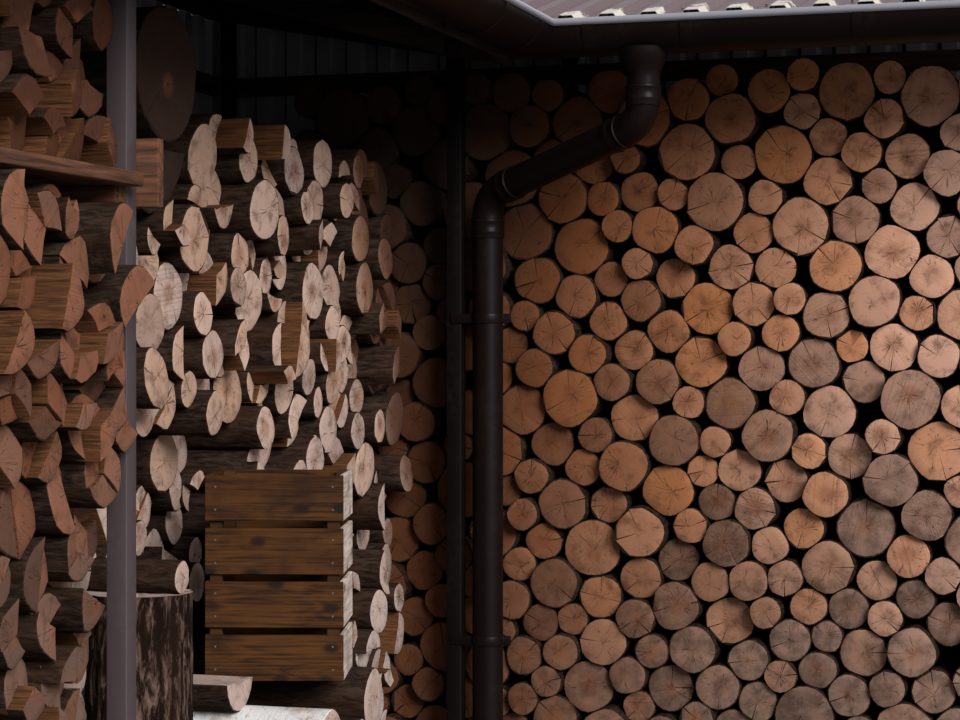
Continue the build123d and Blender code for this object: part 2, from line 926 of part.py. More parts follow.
slab_cut = Plane.XY.offset(bearer_height + slab_top)
slab = split(big_round(slab_v, slab_d, slab_face), bisect_by=slab_cut, keep=Keep.BOTTOM)
upper = big_round(slab_top + seat_gap + big_round_d / 2, big_round_d, slab_face - 30)
keep("big_rounds", together(in_left_wing(made) for made in (slab, upper)))


# Split wood in the rack bay, under the shelf and on it
def rack_reach(log):
    """The rack's wood leans out of the bay towards the shelf."""
    share = (bearer_height + log[1] - rack_lean_foot) / (rack_lean_top - rack_lean_foot)
    return rack_lean * min(1, max(0, share))


def beside_bearer(log):
    """Whether a log would foul the shelf's bearers, which run in from the posts."""
    u, v, r = log
    high = bearer_height + v + r > shelf_top - shelf_thick - shelf_bearer_depth
    return high and not shelf_bearer_width + r < u < rack_width - shelf_bearer_width - r


rack_start = bay + post_side / 2 + seat_gap / 2
rack_width = left_length - post_side / 2 - seat_gap / 2 - rack_start
rack_top = shelf_top - shelf_thick - seat_gap - bearer_height
rack_laid = [log for log in lay_logs(rack_width, rack_top, rack_sizes, seed=21) if not beside_bearer(log)]
shelf_laid = lay_logs(rack_width, shelf_stack_top - shelf_top, rack_sizes, seed=22)
rack_logs = stack(
    rack_laid, rack_start, bearer_height, rack_face, rack_spread, 9, rack_reach, splits=(2, 3, 3)
)
shelf_logs = stack(shelf_laid, rack_start, shelf_top, rack_face, rack_spread, seed=10, splits=(2, 3, 3))
keep("rack_stack", together(in_left_wing(log) for log in rack_logs))
keep("shelf_stack", together(in_left_wing(log) for log in shelf_logs))
left_bearers = [bearers(left_stack_start, bay - post_side / 2), bearers(rack_start, rack_start + rack_width)]
keep("left_bearers", together(in_left_wing(made) for made in left_bearers))

# A slatted crate, stood on end on the ledge
crate_foot = bearer_height + ledge_top + seat_gap
turned = math.radians(crate_turn)
crate_plane = Plane(
    origin=(*crate_centre, crate_foot), x_dir=(math.cos(turned), math.sin(turned), 0), z_dir=(0, 0, 1)
)
slat_step = (crate_height - crate_slat) / (crate_rows - 1)
with BuildPart() as crate:
    with BuildSketch(crate_plane):
        Rectangle(crate_width - 2 * crate_board - 2 * lap_gap, crate_depth - 2 * crate_board - 2 * lap_gap)
    extrude(amount=crate_board)
    with BuildSketch(crate_plane.offset(crate_board + lap_gap)):
        with GridLocations(
            crate_width - 2 * (crate_board + lap_gap) - crate_stile,
            crate_depth - 2 * (crate_board + lap_gap) - crate_stile,
            2,
            2,
        ):
            Rectangle(crate_stile, crate_stile)
    extrude(amount=crate_height - crate_board - lap_gap)
    for row in range(crate_rows):
        with BuildSketch(crate_plane.offset(row * slat_step)):
            with GridLocations(0, crate_depth - crate_board, 1, 2):
                Rectangle(crate_width, crate_board)
            with GridLocations(crate_width - crate_board, 0, 2, 1):
                Rectangle(crate_board, crate_depth - 2 * (crate_board + lap_gap))
        extrude(amount=crate_slat)
keep("crate", crate.part)

# The chopping block
with BuildPart() as block:
    with BuildSketch(Plane.XY):
        with Locations(block_centre):
            Circle(block_d / 2)
    extrude(amount=block_height)
keep("chopping_block", block.part)

# Loose wood: a cleft billet on the ledge beside the crate and a short chunk on the block
with BuildPart() as billet:
    with BuildSketch(Plane.YZ.offset(-billet_ends[1])):
        with Locations((-billet_place, bearer_height + billet_v)):
            Circle(billet_r)
            Rectangle(billet_d, billet_d, align=(Align.CENTER, Align.MIN), mode=Mode.SUBTRACT)
    extrude(amount=billet_ends[1] - billet_ends[0])
with BuildPart() as chunk:
    with BuildSketch(Plane.YZ.offset(block_centre[0] - chunk_length / 2)):
        with Locations((block_centre[1], block_height + seat_gap + chunk_d / 2)):
            Circle(chunk_d / 2)
    extrude(amount=chunk_length)
keep("loose_wood", together([billet.part, chunk.part]))

os.makedirs("parts", exist_ok=True)
for name, shape in parts_made.items():
    export_step(shape, f"parts/{name}.step")
print(len(back_laid), len(left_laid), len(rack_laid), len(shelf_laid), "logs laid")
print(len(parts_made), "pieces, crate foot at", round(crate_foot, 1))
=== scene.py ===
import math
import random

import bmesh
import bpy
import numpy as np
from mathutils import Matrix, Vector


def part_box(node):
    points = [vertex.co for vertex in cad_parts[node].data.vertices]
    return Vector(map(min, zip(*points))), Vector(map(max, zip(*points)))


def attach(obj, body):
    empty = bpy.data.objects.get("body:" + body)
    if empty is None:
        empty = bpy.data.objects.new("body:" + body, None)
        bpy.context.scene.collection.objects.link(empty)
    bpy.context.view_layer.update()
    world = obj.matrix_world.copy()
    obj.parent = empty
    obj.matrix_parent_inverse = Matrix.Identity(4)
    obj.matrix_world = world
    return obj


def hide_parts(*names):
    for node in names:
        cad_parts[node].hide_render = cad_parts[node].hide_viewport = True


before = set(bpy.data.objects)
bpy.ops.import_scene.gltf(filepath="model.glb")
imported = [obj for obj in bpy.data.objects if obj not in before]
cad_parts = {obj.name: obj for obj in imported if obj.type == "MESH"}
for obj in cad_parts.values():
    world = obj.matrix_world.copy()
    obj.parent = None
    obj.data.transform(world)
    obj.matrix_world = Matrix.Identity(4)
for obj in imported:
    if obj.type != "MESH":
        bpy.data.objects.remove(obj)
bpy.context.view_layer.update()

# Camera: the store seen from the yard, level, at the height of a seated person's eyes, with a
# short telephoto that looks past the left wing into the right one.
eye = (1.813, -5.61, 1.25)
heading = math.radians(17.3)
lens_mm = 84.4
camera = bpy.data.objects.new("camera", bpy.data.cameras.new("camera"))
camera.data.lens = lens_mm
camera.data.sensor_width = 36
camera.location = eye
camera.rotation_euler = (math.pi / 2, 0, heading)
bpy.context.collection.objects.link(camera)
bpy.context.scene.camera = camera

# Posts: square steel tube, welded to foot plates and brushed with dark brown paint, dusty and rubbed.
# The left wing's posts are lilac-grey as a painted sky reflection. Four hexagon bolts hold each plate down.
post_brown, sky_sheen_lilac = (0.0035, 0.0022, 0.0022), (0.050, 0.036, 0.039)
post_worn = (0.060, 0.048, 0.053)
dust_tan = (0.10, 0.070, 0.062)
tube_rounding, bolt_width, bolt_height, bolt_inset = 0.004, 0.017, 0.0075, 0.019
washer_width, washer_height, ground_gap, plate_limit = 0.024, 0.002, 0.001, 0.02
orange_peel, weld_gap = (0.15, 0.0008), 0.00002
flat_turn, sharp_turn, smooth_turn = (math.radians(turn) for turn in (1, 30, 38))


def add_node(tree, kind, **sockets):
    """A node of this kind; sockets are values, or other nodes' outputs, by input name."""
    made = tree.nodes.new(kind)
    for name, value in sockets.items():
        name = name.replace("_", " ")
        target = made.inputs[int(name)] if name.isdigit() else made.inputs[name]
        if isinstance(value, bpy.types.NodeSocket):
            tree.links.new(value, target)
        else:
            target.default_value = value
    return made


def maths(tree, operation, *values):
    """The output of a Math node on up to three values or sockets."""
    made = tree.nodes.new("ShaderNodeMath")
    made.operation = operation
    for place, value in enumerate(values):
        if isinstance(value, bpy.types.NodeSocket):
            tree.links.new(value, made.inputs[place])
        else:
            made.inputs[place].default_value = value
    return made.outputs[0]


def blended(tree, share, low, high):
    """The output of a colour mix between low and high; share may be a socket."""
    made = tree.nodes.new("ShaderNodeMix")
    made.data_type = "RGBA"
    for name, value in (("Factor", share), ("A", low), ("B", high)):
        kind = "VALUE" if name == "Factor" else "RGBA"
        target = next(s for s in made.inputs if s.name == name and s.type == kind)
        if isinstance(value, bpy.types.NodeSocket):
            tree.links.new(value, target)
        else:
            target.default_value = value if name == "Factor" else (*value, 1)
    return next(s for s in made.outputs if s.type == "RGBA")


def stepped(tree, value, low, high, bottom=0.0, top=1.0):
    """value mapped smoothly from low..high to bottom..top."""
    made = tree.nodes.new("ShaderNodeMapRange")
    made.interpolation_type = "SMOOTHSTEP"
    tree.links.new(value, made.inputs["Value"])
    for name, number in (("From Min", low), ("From Max", high), ("To Min", bottom), ("To Max", top)):
        made.inputs[name].default_value = number
    return made.outputs["Result"]


def object_place(tree, scale=(1, 1, 1)):
    """Object coordinates, scaled."""
    coordinates = tree.nodes.new("ShaderNodeTexCoord")
    mapping = add_node(tree, "ShaderNodeMapping", Vector=coordinates.outputs["Object"])
    mapping.inputs["Scale"].default_value = scale
    return mapping.outputs["Vector"]


def noise(tree, place, scale, detail=4.0, roughness=0.55, distortion=0.0):
    """The value of a Noise Texture at a place."""
    values = {"Scale": scale, "Detail": detail, "Roughness": roughness, "Distortion": distortion}
    return add_node(tree, "ShaderNodeTexNoise", Vector=place, **values).outputs["Fac"]


def xyz(tree, **parts):
    """The vector of a Combine XYZ node."""
    return add_node(tree, "ShaderNodeCombineXYZ", **parts).outputs[0]


def effect_group(name, sockets, results, kind="ShaderNodeTree"):
    """An empty node group with these inputs and outputs, and its two end nodes."""
    group = bpy.data.node_groups.new(name, kind)
    for label, sort, value in sockets:
        made = group.interface.new_socket(label, in_out="INPUT", socket_type="NodeSocket" + sort)
        if value is not None:
            made.default_value = value
    for label, sort in results:
        group.interface.new_socket(label, in_out="OUTPUT", socket_type="NodeSocket" + sort)
    return group, group.nodes.new("NodeGroupInput").outputs, group.nodes.new("NodeGroupOutput").inputs


def placed(tree, group, **values):
    """The outputs of an effect group placed in a material with these values by input name."""
    made = tree.nodes.new("ShaderNodeGroup")
    made.node_tree = group
    for name, value in values.items():
        if isinstance(value, bpy.types.NodeSocket):
            tree.links.new(value, made.inputs[name])
        else:
            made.inputs[name].default_value = (*value, 1) if isinstance(value, tuple) else value
    return made.outputs


def dust_effect():
    """Dust that settles in soft patches over a coat: the coat's colour and gloss, changed by it."""
    sockets = [
        ("Coat", "Color", (0, 0, 0, 1)),
        ("Dust", "Color", (0, 0, 0, 1)),
        ("Worn", "Color", (0, 0, 0, 1)),
        ("Gloss", "Float", 0.4),
        ("Amount", "Float", 0.5),
    ]
    results = [("Color", "Color"), ("Roughness", "Float"), ("Skin", "Float")]
    group, given, out = effect_group("settled_dust", sockets, results)
    place = object_place(group)
    cloud = stepped(group, noise(group, place, 3.0, 5), 0.45, 0.75)
    dusty = maths(group, "MULTIPLY", cloud, stepped(group, noise(group, place, 60.0, 3), 0.35, 0.7))
    dusty = maths(group, "MULTIPLY", dusty, given["Amount"])
    worn = stepped(group, noise(group, place, 24.0, 6, 0.7), 0.66, 0.78, 0.0, 0.5)
    colour = blended(group, dusty, given["Coat"], given["Dust"])
    group.links.new(blended(group, worn, colour, given["Worn"]), out["Color"])
    group.links.new(maths(group, "MULTIPLY_ADD", dusty, 0.45, given["Gloss"]), out["Roughness"])
    group.links.new(noise(group, place, 180.0, 2), out["Skin"])
    return group


settled_dust = dust_effect()


def new_material(name, shine=0.15):
    """A material with its Principled BSDF; returns the material, its tree and the shader node."""
    made = bpy.data.materials.new(name)
    made.use_nodes = True
    shader = made.node_tree.nodes["Principled BSDF"]
    shader.inputs["Specular IOR Level"].default_value = shine
    return made, made.node_tree, shader


def coated(tree, shader, colour, roughness, height, strength, distance):
    """A colour, a roughness (a value or a socket) and relief from a height, put on a shader."""
    tree.links.new(colour, shader.inputs["Base Color"])
    if isinstance(roughness, bpy.types.NodeSocket):
        tree.links.new(roughness, shader.inputs["Roughness"])
    else:
        shader.inputs["Roughness"].default_value = roughness
    bump = add_node(tree, "ShaderNodeBump", Height=height, Strength=strength, Distance=distance)
    tree.links.new(bump.outputs["Normal"], shader.inputs["Normal"])


def painted_steel(name, paint, worn, dust, gloss, amount=0.5, shine=0.5):
    """Brush-painted or coated steel with dust in patches and a slight orange-peel skin."""
    made, tree, shader = new_material(name, shine)
    coat = placed(tree, settled_dust, Coat=paint, Worn=worn, Dust=dust, Gloss=gloss, Amount=amount)
    coated(tree, shader, coat["Color"], coat["Roughness"], coat["Skin"], *orange_peel)
    return made


def loose_solids(node):
    """The corner points of each separate solid of a CAD node."""
    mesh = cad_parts[node].data
    points = np.empty(len(mesh.vertices) * 3)
    mesh.vertices.foreach_get("co", points)
    keys, index = np.unique(np.round(points.reshape(-1, 3), 5), axis=0, return_inverse=True)
    index = index.reshape(-1)
    owner = np.arange(len(keys))

    def root_of(place):
        while owner[place] != place:
            owner[place] = owner[owner[place]]
            place = owner[place]
        return place

    for face in mesh.polygons:
        corners = [root_of(index[v]) for v in face.vertices]
        for other in corners[1:]:
            owner[root_of(other)] = root_of(corners[0])
    groups = {}
    for place in range(len(keys)):
        groups.setdefault(root_of(place), []).append(place)
    return [keys[group] for group in groups.values()]


def shown(name, mesh):
    """A mesh as an object of the scene."""
    made = bpy.data.objects.new(name, mesh)
    bpy.context.collection.objects.link(made)
    return made


def eased(name, nodes, rounding, material, steps=2):
    """Copies of CAD nodes as one piece with their sharp edges rounded, in place of the nodes."""
    shape = bmesh.new()
    for node in nodes:
        shape.from_mesh(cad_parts[node].data)
    bmesh.ops.remove_doubles(shape, verts=shape.verts, dist=weld_gap)
    bmesh.ops.dissolve_limit(shape, angle_limit=flat_turn, verts=shape.verts, edges=shape.edges)
    sharp = [e for e in shape.edges if len(e.link_faces) == 2 and e.calc_face_angle(0) > sharp_turn]
    bmesh.ops.bevel(
        shape, geom=sharp, offset=rounding, segments=steps, profile=0.5, affect="EDGES", clamp_overlap=True
    )
    mesh = bpy.data.meshes.new(name)
    shape.to_mesh(mesh)
    shape.free()
    mesh.materials.clear()
    mesh.materials.append(material)
    mesh.shade_smooth()
    mesh.set_sharp_from_angle(angle=smooth_turn)
    made = shown(name, mesh)
    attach(made, "root")
    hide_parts(*nodes)
    return made


def realized(tree, instances, finish, result):
    """Ends a Geometry Nodes tree: its instances realized, with the finish set, go to its result."""
    whole = add_node(tree, "GeometryNodeRealizeInstances", Geometry=instances).outputs[0]
    finished = add_node(tree, "GeometryNodeSetMaterial", Geometry=whole, Material=finish)
    tree.links.new(finished.outputs["Geometry"], result[0])


def fixing_tree():
    """Geometry Nodes: a head on a washer at every point, stood along the point's 'out' direction."""
    sockets = [
        ("Places", "Geometry", None),
        ("Head Width", "Float", 0.008),
        ("Head Height", "Float", 0.005),
        ("Washer Width", "Float", 0.015),
        ("Washer Height", "Float", 0.001),
        ("Sides", "Int", 6),
        ("Turn Seed", "Int", 3),
        ("Finish", "Material", None),
    ]
    tree, given, result = effect_group("fixing_heads", sockets, [("Heads", "Geometry")], "GeometryNodeTree")

    def turned(width, height, foot, sides):
        """A short cylinder of this width and height whose foot is at the given height."""
        radius = maths(tree, "MULTIPLY", width, 0.5)
        made = add_node(tree, "GeometryNodeMeshCylinder", Vertices=sides, Radius=radius, Depth=height)
        middle = xyz(tree, Z=maths(tree, "MULTIPLY_ADD", height, 0.5, foot))
        return add_node(tree, "GeometryNodeTransform", Geometry=made.outputs["Mesh"], Translation=middle).outputs[0]

    joined = tree.nodes.new("GeometryNodeJoinGeometry")
    tree.links.new(turned(given["Washer Width"], given["Washer Height"], 0.0, 14), joined.inputs[0])
    head = turned(given["Head Width"], given["Head Height"], given["Washer Height"], given["Sides"])
    tree.links.new(head, joined.inputs[0])
    out = add_node(tree, "GeometryNodeInputNamedAttribute", Name="out")
    out.data_type = "FLOAT_VECTOR"
    vector = next(s for s in out.outputs if s.enabled and s.name == "Attribute")
    stood = tree.nodes.new("FunctionNodeAlignRotationToVector")
    stood.axis = "Z"
    tree.links.new(vector, stood.inputs["Vector"])
    points = add_node(tree, "GeometryNodeMeshToPoints", Mesh=given["Places"]).outputs["Points"]
    heads = add_node(tree, "GeometryNodeInstanceOnPoints", Points=points, Instance=joined.outputs["Geometry"])
    tree.links.new(stood.outputs["Rotation"], heads.inputs["Rotation"])
    chance = tree.nodes.new("FunctionNodeRandomValue")
    chance.data_type = "FLOAT"
    tree.links.new(given["Turn Seed"], chance.inputs["Seed"])
    spun = xyz(tree, Z=next(s for s in chance.outputs if s.enabled))
    turned_heads = tree.nodes.new("GeometryNodeRotateInstances")
    tree.links.new(heads.outputs["Instances"], turned_heads.inputs["Instances"])
    tree.links.new(spun, turned_heads.inputs["Rotation"])
    realized(tree, turned_heads.outputs["Instances"], given["Finish"], result)
    return tree


fixing_heads = fixing_tree()


def grown(name, mesh, tree, settings):
    """The plain mesh that a Geometry Nodes tree makes on a mesh, with these settings by input name."""
    made = shown(name, mesh)
    modifier = made.modifiers.new(name, "NODES")
    modifier.node_group = tree
    for item in tree.interface.items_tree:
        if item.in_out == "INPUT" and item.name in settings:
            modifier[item.identifier] = settings[item.name]
    bpy.context.view_layer.update()
    result = bpy.data.meshes.new_from_object(made.evaluated_get(bpy.context.evaluated_depsgraph_get()))
    made.modifiers.remove(modifier)
    made.data = result
    return made


def add_fixings(name, places, outs, finish, slot, **sizes):
    """Heads at these places as one piece, each standing out along its direction."""
    mesh = bpy.data.meshes.new(name + "_places")
    mesh.from_pydata([tuple(map(float, p)) for p in places], [], [])
    out = mesh.attributes.new("out", "FLOAT_VECTOR", "POINT")
    out.data.foreach_set("vector", np.array(outs, dtype=np.float32).reshape(-1))
    settings = {label.replace("_", " ").title(): value for label, value in sizes.items()}
    made = grown(name, mesh, fixing_heads, {**settings, "Finish": finish})
    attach(made, "root")
    return made


def dress(names, material):
    """Gives CAD nodes this material."""
    for name in names:
        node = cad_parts[name]
        node.data.materials.clear()
        node.data.materials.append(material)


post_paint = painted_steel("post_paint", post_brown, post_worn, dust_tan, 0.50, 0.08, 0.05)
# Lilac-grey coat for the left posts: a painted reflection of the sky, with rust-orange wear.
left_post_sheen_paint = painted_steel("post_paint_painted_sheen", sky_sheen_lilac, (0.15, 0.07, 0.04), dust_tan, 0.50, 0.5, 0.2)
yard_posts = ["corner_post", "right_post"]
rear_posts = ["right_back_posts", "left_back_posts", "outer_corner_post"]
eased("yard_post_tubes", yard_posts, tube_rounding, post_paint)
eased("left_post_tubes", ["left_posts"], tube_rounding, left_post_sheen_paint)
eased("rear_post_tubes", rear_posts, tube_rounding, post_paint)
bolt_places = []
for node in yard_posts + ["left_posts"] + rear_posts:
    for corners in loose_solids(node):
        base = corners[corners[:, 2] < ground_gap]
        plate_top = corners[(corners[:, 2] > ground_gap) & (corners[:, 2] < plate_limit), 2].max()
        low, high = base.min(axis=0), base.max(axis=0)
        for x in (low[0] + bolt_inset, high[0] - bolt_inset):
            for y in (low[1] + bolt_inset, high[1] - bolt_inset):
                bolt_places.append((x, y, plate_top))
bolt_steel = painted_steel("bolt_steel", (0.10, 0.085, 0.075), (0.28, 0.12, 0.05), dust_tan, 0.5)
add_fixings(
    "foot_bolts",
    bolt_places,
    [(0, 0, 1)] * len(bolt_places),
    bolt_steel,
    "post_steel",
    head_width=bolt_width,
    head_height=bolt_height,
    washer_width=washer_width,
    washer_height=washer_height,
)

# Rafters, purlins, fascias and rails: sawn softwood, stained brown and weathered, nailed together.
# The roof's timbers are nearly black with stain and soot, and the arrises are a little rounded.
timber_dark, timber_light = (0.030, 0.016, 0.010), (0.12, 0.066, 0.040)
stain_dark, stain_light = (0.007, 0.004, 0.003), (0.030, 0.017, 0.012)
board_dark, board_light = (0.028, 0.012, 0.007), (0.15, 0.060, 0.030)
arris, sleeper_arris, plank_arris = 0.0022, 0.004, 0.003


def fibre_effect():
    """Fibres that run along a board: a value for light and dark, and broad patches of grey."""
    sockets = [("Place", "Vector", (0, 0, 0)), ("Scale", "Float", 3.0)]
    results = [("Fibre", "Float"), ("Patch", "Float"), ("Grey", "Float")]
    group, given, out = effect_group("board_fibres", sockets, results)
    group.links.new(noise(group, given["Place"], given["Scale"], 6.0, 0.65, 0.6), out["Fibre"])
    group.links.new(stepped(group, noise(group, given["Place"], 0.7, 3), 0.55, 0.75), out["Patch"])
    group.links.new(stepped(group, noise(group, object_place(group), 2.2, 4), 0.45, 0.7), out["Grey"])
    return group


board_fibres = fibre_effect()


def sawn_timber(name, dark, light, along, grey=0.4):
    """Sawn board: fibres that run along one axis, dark patches and grey weathering."""
    made, tree, shader = new_material(name)
    stretch = [26.0, 26.0, 26.0]
    stretch[along] = 1.6
    wood = placed(tree, board_fibres, Place=object_place(tree, stretch))
    colour = blended(tree, stepped(tree, wood["Fibre"], 0.3, 0.7), dark, light)
    greyed = tuple(0.75 * channel + 0.03 for channel in light)
    colour = blended(tree, maths(tree, "MULTIPLY", wood["Grey"], grey), colour, greyed)
    colour = blended(tree, maths(tree, "MULTIPLY", wood["Patch"], 0.5), colour, dark)
    coated(tree, shader, colour, 0.82, wood["Fibre"], 0.45, 0.002)
    return made


roof_x, roof_y = (sawn_timber("roof_timber_" + axis, stain_dark, stain_light, n) for n, axis in enumerate("xy"))
rail_x, rail_y, rail_z = (
    sawn_timber("rail_timber_" + axis, timber_dark, timber_light, n) for n, axis in enumerate("xyz")
)
board_x, board_y = (
    sawn_timber("shelf_board_" + axis, board_dark, board_light, n, 0.2) for n, axis in enumerate("xy")
)
for name, nodes, rounding, wood, slot in (
    ("right_eave_board", ["right_fascia"], arris, roof_x, "frame_timber"),
    ("left_eave_board", ["left_fascia"], arris, roof_y, "frame_timber"),
    ("rafters_in", ["right_rafters", "valley_rafter"], arris, roof_y, "frame_timber"),
    ("rafters_across", ["left_rafters"], arris, roof_x, "frame_timber"),
    ("right_sheet_purlins", ["right_purlins"], arris, roof_x, "frame_timber"),
    ("left_sheet_purlins", ["left_purlins"], arris, roof_y, "frame_timber"),
    ("right_cladding_rails", ["right_wall_rails"], arris, rail_x, "frame_timber"),
    ("left_cladding_rails", ["left_wall_rails"], arris, rail_y, "frame_timber"),
    ("right_stack_rails", ["right_end_rails"], arris, rail_y, "board_timber"),
    ("left_stack_rails", ["left_end_rails"], arris, rail_x, "board_timber"),
    ("stack_sleepers", ["back_bearers"], sleeper_arris, rail_x, "frame_timber"),
    ("left_sleepers", ["left_bearers"], sleeper_arris, rail_y, "frame_timber"),
    ("stake_posts", ["stack_stakes"], sleeper_arris, rail_z, "frame_timber"),
    ("shelf_planks", ["shelf_boards"], plank_arris, board_y, "board_timber"),
    ("shelf_joists", ["shelf_bearers"], arris, board_x, "board_timber"),
    ("shelf_edge_board", ["shelf_end_board"], arris, board_x, "board_timber"),
):
    eased(name, nodes, rounding, wood)

# Roof and walls: ribbed steel sheet in a mauve-brown coat, with a pale backing coat inside. At the eave
# the old coat has flaked back to its cream primer. Screws with washers hold the sheets to the timber.
sheet_mauve, primer_cream = (0.105, 0.068, 0.072), (0.52, 0.46, 0.40)
wall_brown, backing_lilac = (0.085, 0.065, 0.066), (0.50, 0.46, 0.49)
eave_line, flake_width = -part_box("right_roof_sheet")[0][1], 0.13
sheet_worn, sheet_dust = (0.30, 0.27, 0.27), (0.24, 0.20, 0.18)
screw_head, screw_height, screw_washer, screw_step = 0.008, 0.005, 0.016, 0.210
roof_slope, closing_gap, widest_rafter, least_opening = math.radians(15), 0.001, 0.1, 0.15
faces_out, least_pan = 0.9, 0.02


def ribbed_coat(name, coat, backing_way):
    """A sheet's coat by its sides: the backing coat inside, and flakes to the primer at the eave."""
    made, tree, shader = new_material(name, 0.06)
    paint = placed(tree, settled_dust, Coat=coat, Worn=sheet_worn, Dust=sheet_dust, Gloss=0.42)
    place = object_place(tree)
    x, y, z = add_node(tree, "ShaderNodeSeparateXYZ", Vector=place).outputs
    to_right = maths(tree, "ADD", y, eave_line)
    to_left = maths(tree, "MULTIPLY_ADD", x, -1.0, eave_line)
    from_eave = maths(tree, "MAXIMUM", to_right, to_left)
    ragged = stepped(tree, noise(tree, place, 12.0, 7, 0.75), 0.32, 0.68, 0.0, flake_width)
    flaked = stepped(tree, maths(tree, "SUBTRACT", ragged, from_eave), -0.004, 0.004)
    flaked = maths(tree, "MULTIPLY", flaked, stepped(tree, z, 2.0, 2.02))
    colour = blended(tree, flaked, paint["Color"], primer_cream)
    geometry = tree.nodes.new("ShaderNodeNewGeometry")
    facing = add_node(tree, "ShaderNodeVectorMath", **{"0": geometry.outputs["True Normal"], "1": backing_way})
    facing.operation = "DOT_PRODUCT"
    backed = stepped(tree, facing.outputs["Value"], 0.15, 0.3)
    colour = blended(tree, backed, colour, backing_lilac)
    coated(tree, shader, colour, paint["Roughness"], paint["Skin"], *orange_peel)
    return made


dress(["right_roof_sheet", "left_roof_sheet"], ribbed_coat("roof_coat", sheet_mauve, (0, 0, -1)))
flashing_coat = painted_steel("flashing_coat", sheet_mauve, (0.20, 0.17, 0.17), (0.20, 0.17, 0.15), 0.55, 0.5, 0.08)
dress(["valley_flashing"], flashing_coat)
dress(["right_wall_sheet", "left_wall_sheet"], ribbed_coat("wall_coat", wall_brown, (0.7, -0.7, 0)))


def closing_boards(wing):
    """Boards that close a wall's top to the roof between the rafters, as boxes of corners."""
    low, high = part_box(wing + "_wall_sheet")
    across, depth = (0, 1) if wing == "right" else (1, 0)
    inner = low[1] if wing == "right" else -high[0]
    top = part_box(wing + "_roof_sheet")[0][2] + math.tan(roof_slope) * (inner + eave_line) - 2 * closing_gap
    blocks = [(r.min(axis=0)[across], r.max(axis=0)[across]) for r in loose_solids(wing + "_rafters")]
    blocks = sorted(b for b in blocks if b[1] - b[0] < widest_rafter) + [(high[across], high[across])]
    start, boxes = low[across], []
    for near, far in blocks:
        if near - start > least_opening:
            corner, opposite = [0, 0, high[2] + closing_gap], [0, 0, top]
            corner[across], opposite[across] = start + closing_gap, near - closing_gap
            corner[depth], opposite[depth] = low[depth], high[depth]
            boxes.append((corner, opposite))
        start = max(start, far)
    return boxes


for wing, material in (("right", roof_x), ("left", roof_y)):
    points, faces = [], []
    for low, high in closing_boards(wing):
        first = len(points)
        points += [(x, y, z) for x in (low[0], high[0]) for y in (low[1], high[1]) for z in (low[2], high[2])]
        for face in ((0, 1, 3, 2), (4, 6, 7, 5), (0, 4, 5, 1), (2, 3, 7, 6), (0, 2, 6, 4), (1, 5, 7, 3)):
            faces.append([first + v for v in face])
    mesh = bpy.data.meshes.new(wing + "_closing_boards")
    mesh.from_pydata(points, [], faces)
    mesh.materials.append(material)
    boards = shown(wing + "_closing_boards", mesh)
    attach(boards, "root")


def sheet_fixings(node, rail_node, wing):
    """Where screws go through a sheet into its rails: on the pans, at every other rib, outside."""
    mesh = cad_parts[node].data
    outer = []
    for face in mesh.polygons:
        slope = face.normal
        out = slope.z if "roof" in node else (slope.y if wing == "right" else -slope.x)
        if out > faces_out and face.area > least_pan:
            outer.append([mesh.vertices[v].co for v in face.vertices])
    places, outs = [], []
    for rail in loose_solids(rail_node):
        low, high = rail.min(axis=0), rail.max(axis=0)
        across = 0 if wing == "right" else 1
        depth = 1 - across if "roof" in node else 2
        line = (low[depth] + high[depth]) / 2
        for place in np.arange(math.ceil(low[across] / screw_step) * screw_step, high[across], screw_step):
            for a, b, c in outer:
                hit = [0.0, 0.0, 0.0]
                hit[across], hit[depth] = place, line
                free = 3 - across - depth
                flat = np.array([[p[across], p[depth]] for p in (a, b, c)])
                span = np.array([flat[1] - flat[0], flat[2] - flat[0]]).T
                if abs(np.linalg.det(span)) < 1e-9:
                    continue
                s, t = np.linalg.solve(span, np.array([place, line]) - flat[0])
                if s >= 0 and t >= 0 and s + t <= 1:
                    hit[free] = a[free] + s * (b[free] - a[free]) + t * (c[free] - a[free])
                    places.append(tuple(hit))
                    outs.append(tuple((b - a).cross(c - a).normalized()))
                    break
    return places, outs


screw_steel = painted_steel("screw_coat", sheet_mauve, (0.35, 0.32, 0.31), (0.22, 0.19, 0.17), 0.35)
screwed = [(wing + "_roof_sheet", wing + "_purlins", wing) for wing in ("right", "left")]
screwed += [(wing + "_wall_sheet", wing + "_wall_rails", wing) for wing in ("right", "left")]
for number, (sheet, rails, wing) in enumerate(screwed):
    places, outs = sheet_fixings(sheet, rails, wing)
    add_fixings(
        sheet.replace("sheet", "screws"),
        places,
        outs,
        screw_steel,
        "roof_steel" if "roof" in sheet else "wall_cladding",
        head_width=screw_head,
        head_height=screw_height,
        washer_width=screw_washer,
        turn_seed=number,
    )

# Gutters: half-round troughs of dark coated steel with a rolled bead, in lengths that meet in a mitre
# and at strapped unions, on brackets nailed to the eave boards. The bead is coloured pale lilac:
# a painted reflection of the sky.
rim = 2.066
trough_axis, trough_radius, trough_wall = 0.288, 0.075, 0.002
bead_centre, bead_radius = 0.362, 0.009
leg, outlet_stop, right_stop, left_stop = 0.45, 0.69, 2.05, 3.15
arc_points, bead_points, seam = 30, 14, 0.0004
cap_radius, cap_thick = 0.0748, 0.0021
strap_gap, strap_wide, strap_thick = 0.0003, 0.030, 0.0025
bracket_wide, bracket_thick, plate_foot, plate_head = 0.026, 0.003, -0.058, 0.012
strapped = ((leg, "right"), (outlet_stop, "right"), (leg, "left"))
bracketed = [(along, "right") for along in (1.096, 1.696)]
bracketed += [(along, "left") for along in (0.745, 1.345, 1.945, 2.545, 3.145)]
coat_brown, coat_worn, coat_dust = (0.0055, 0.0030, 0.0025), (0.035, 0.025, 0.024), (0.05, 0.034, 0.030)
# Pale lilac for the bead: a painted reflection of the sky.
sky_reflection_lilac = (0.21, 0.205, 0.235)
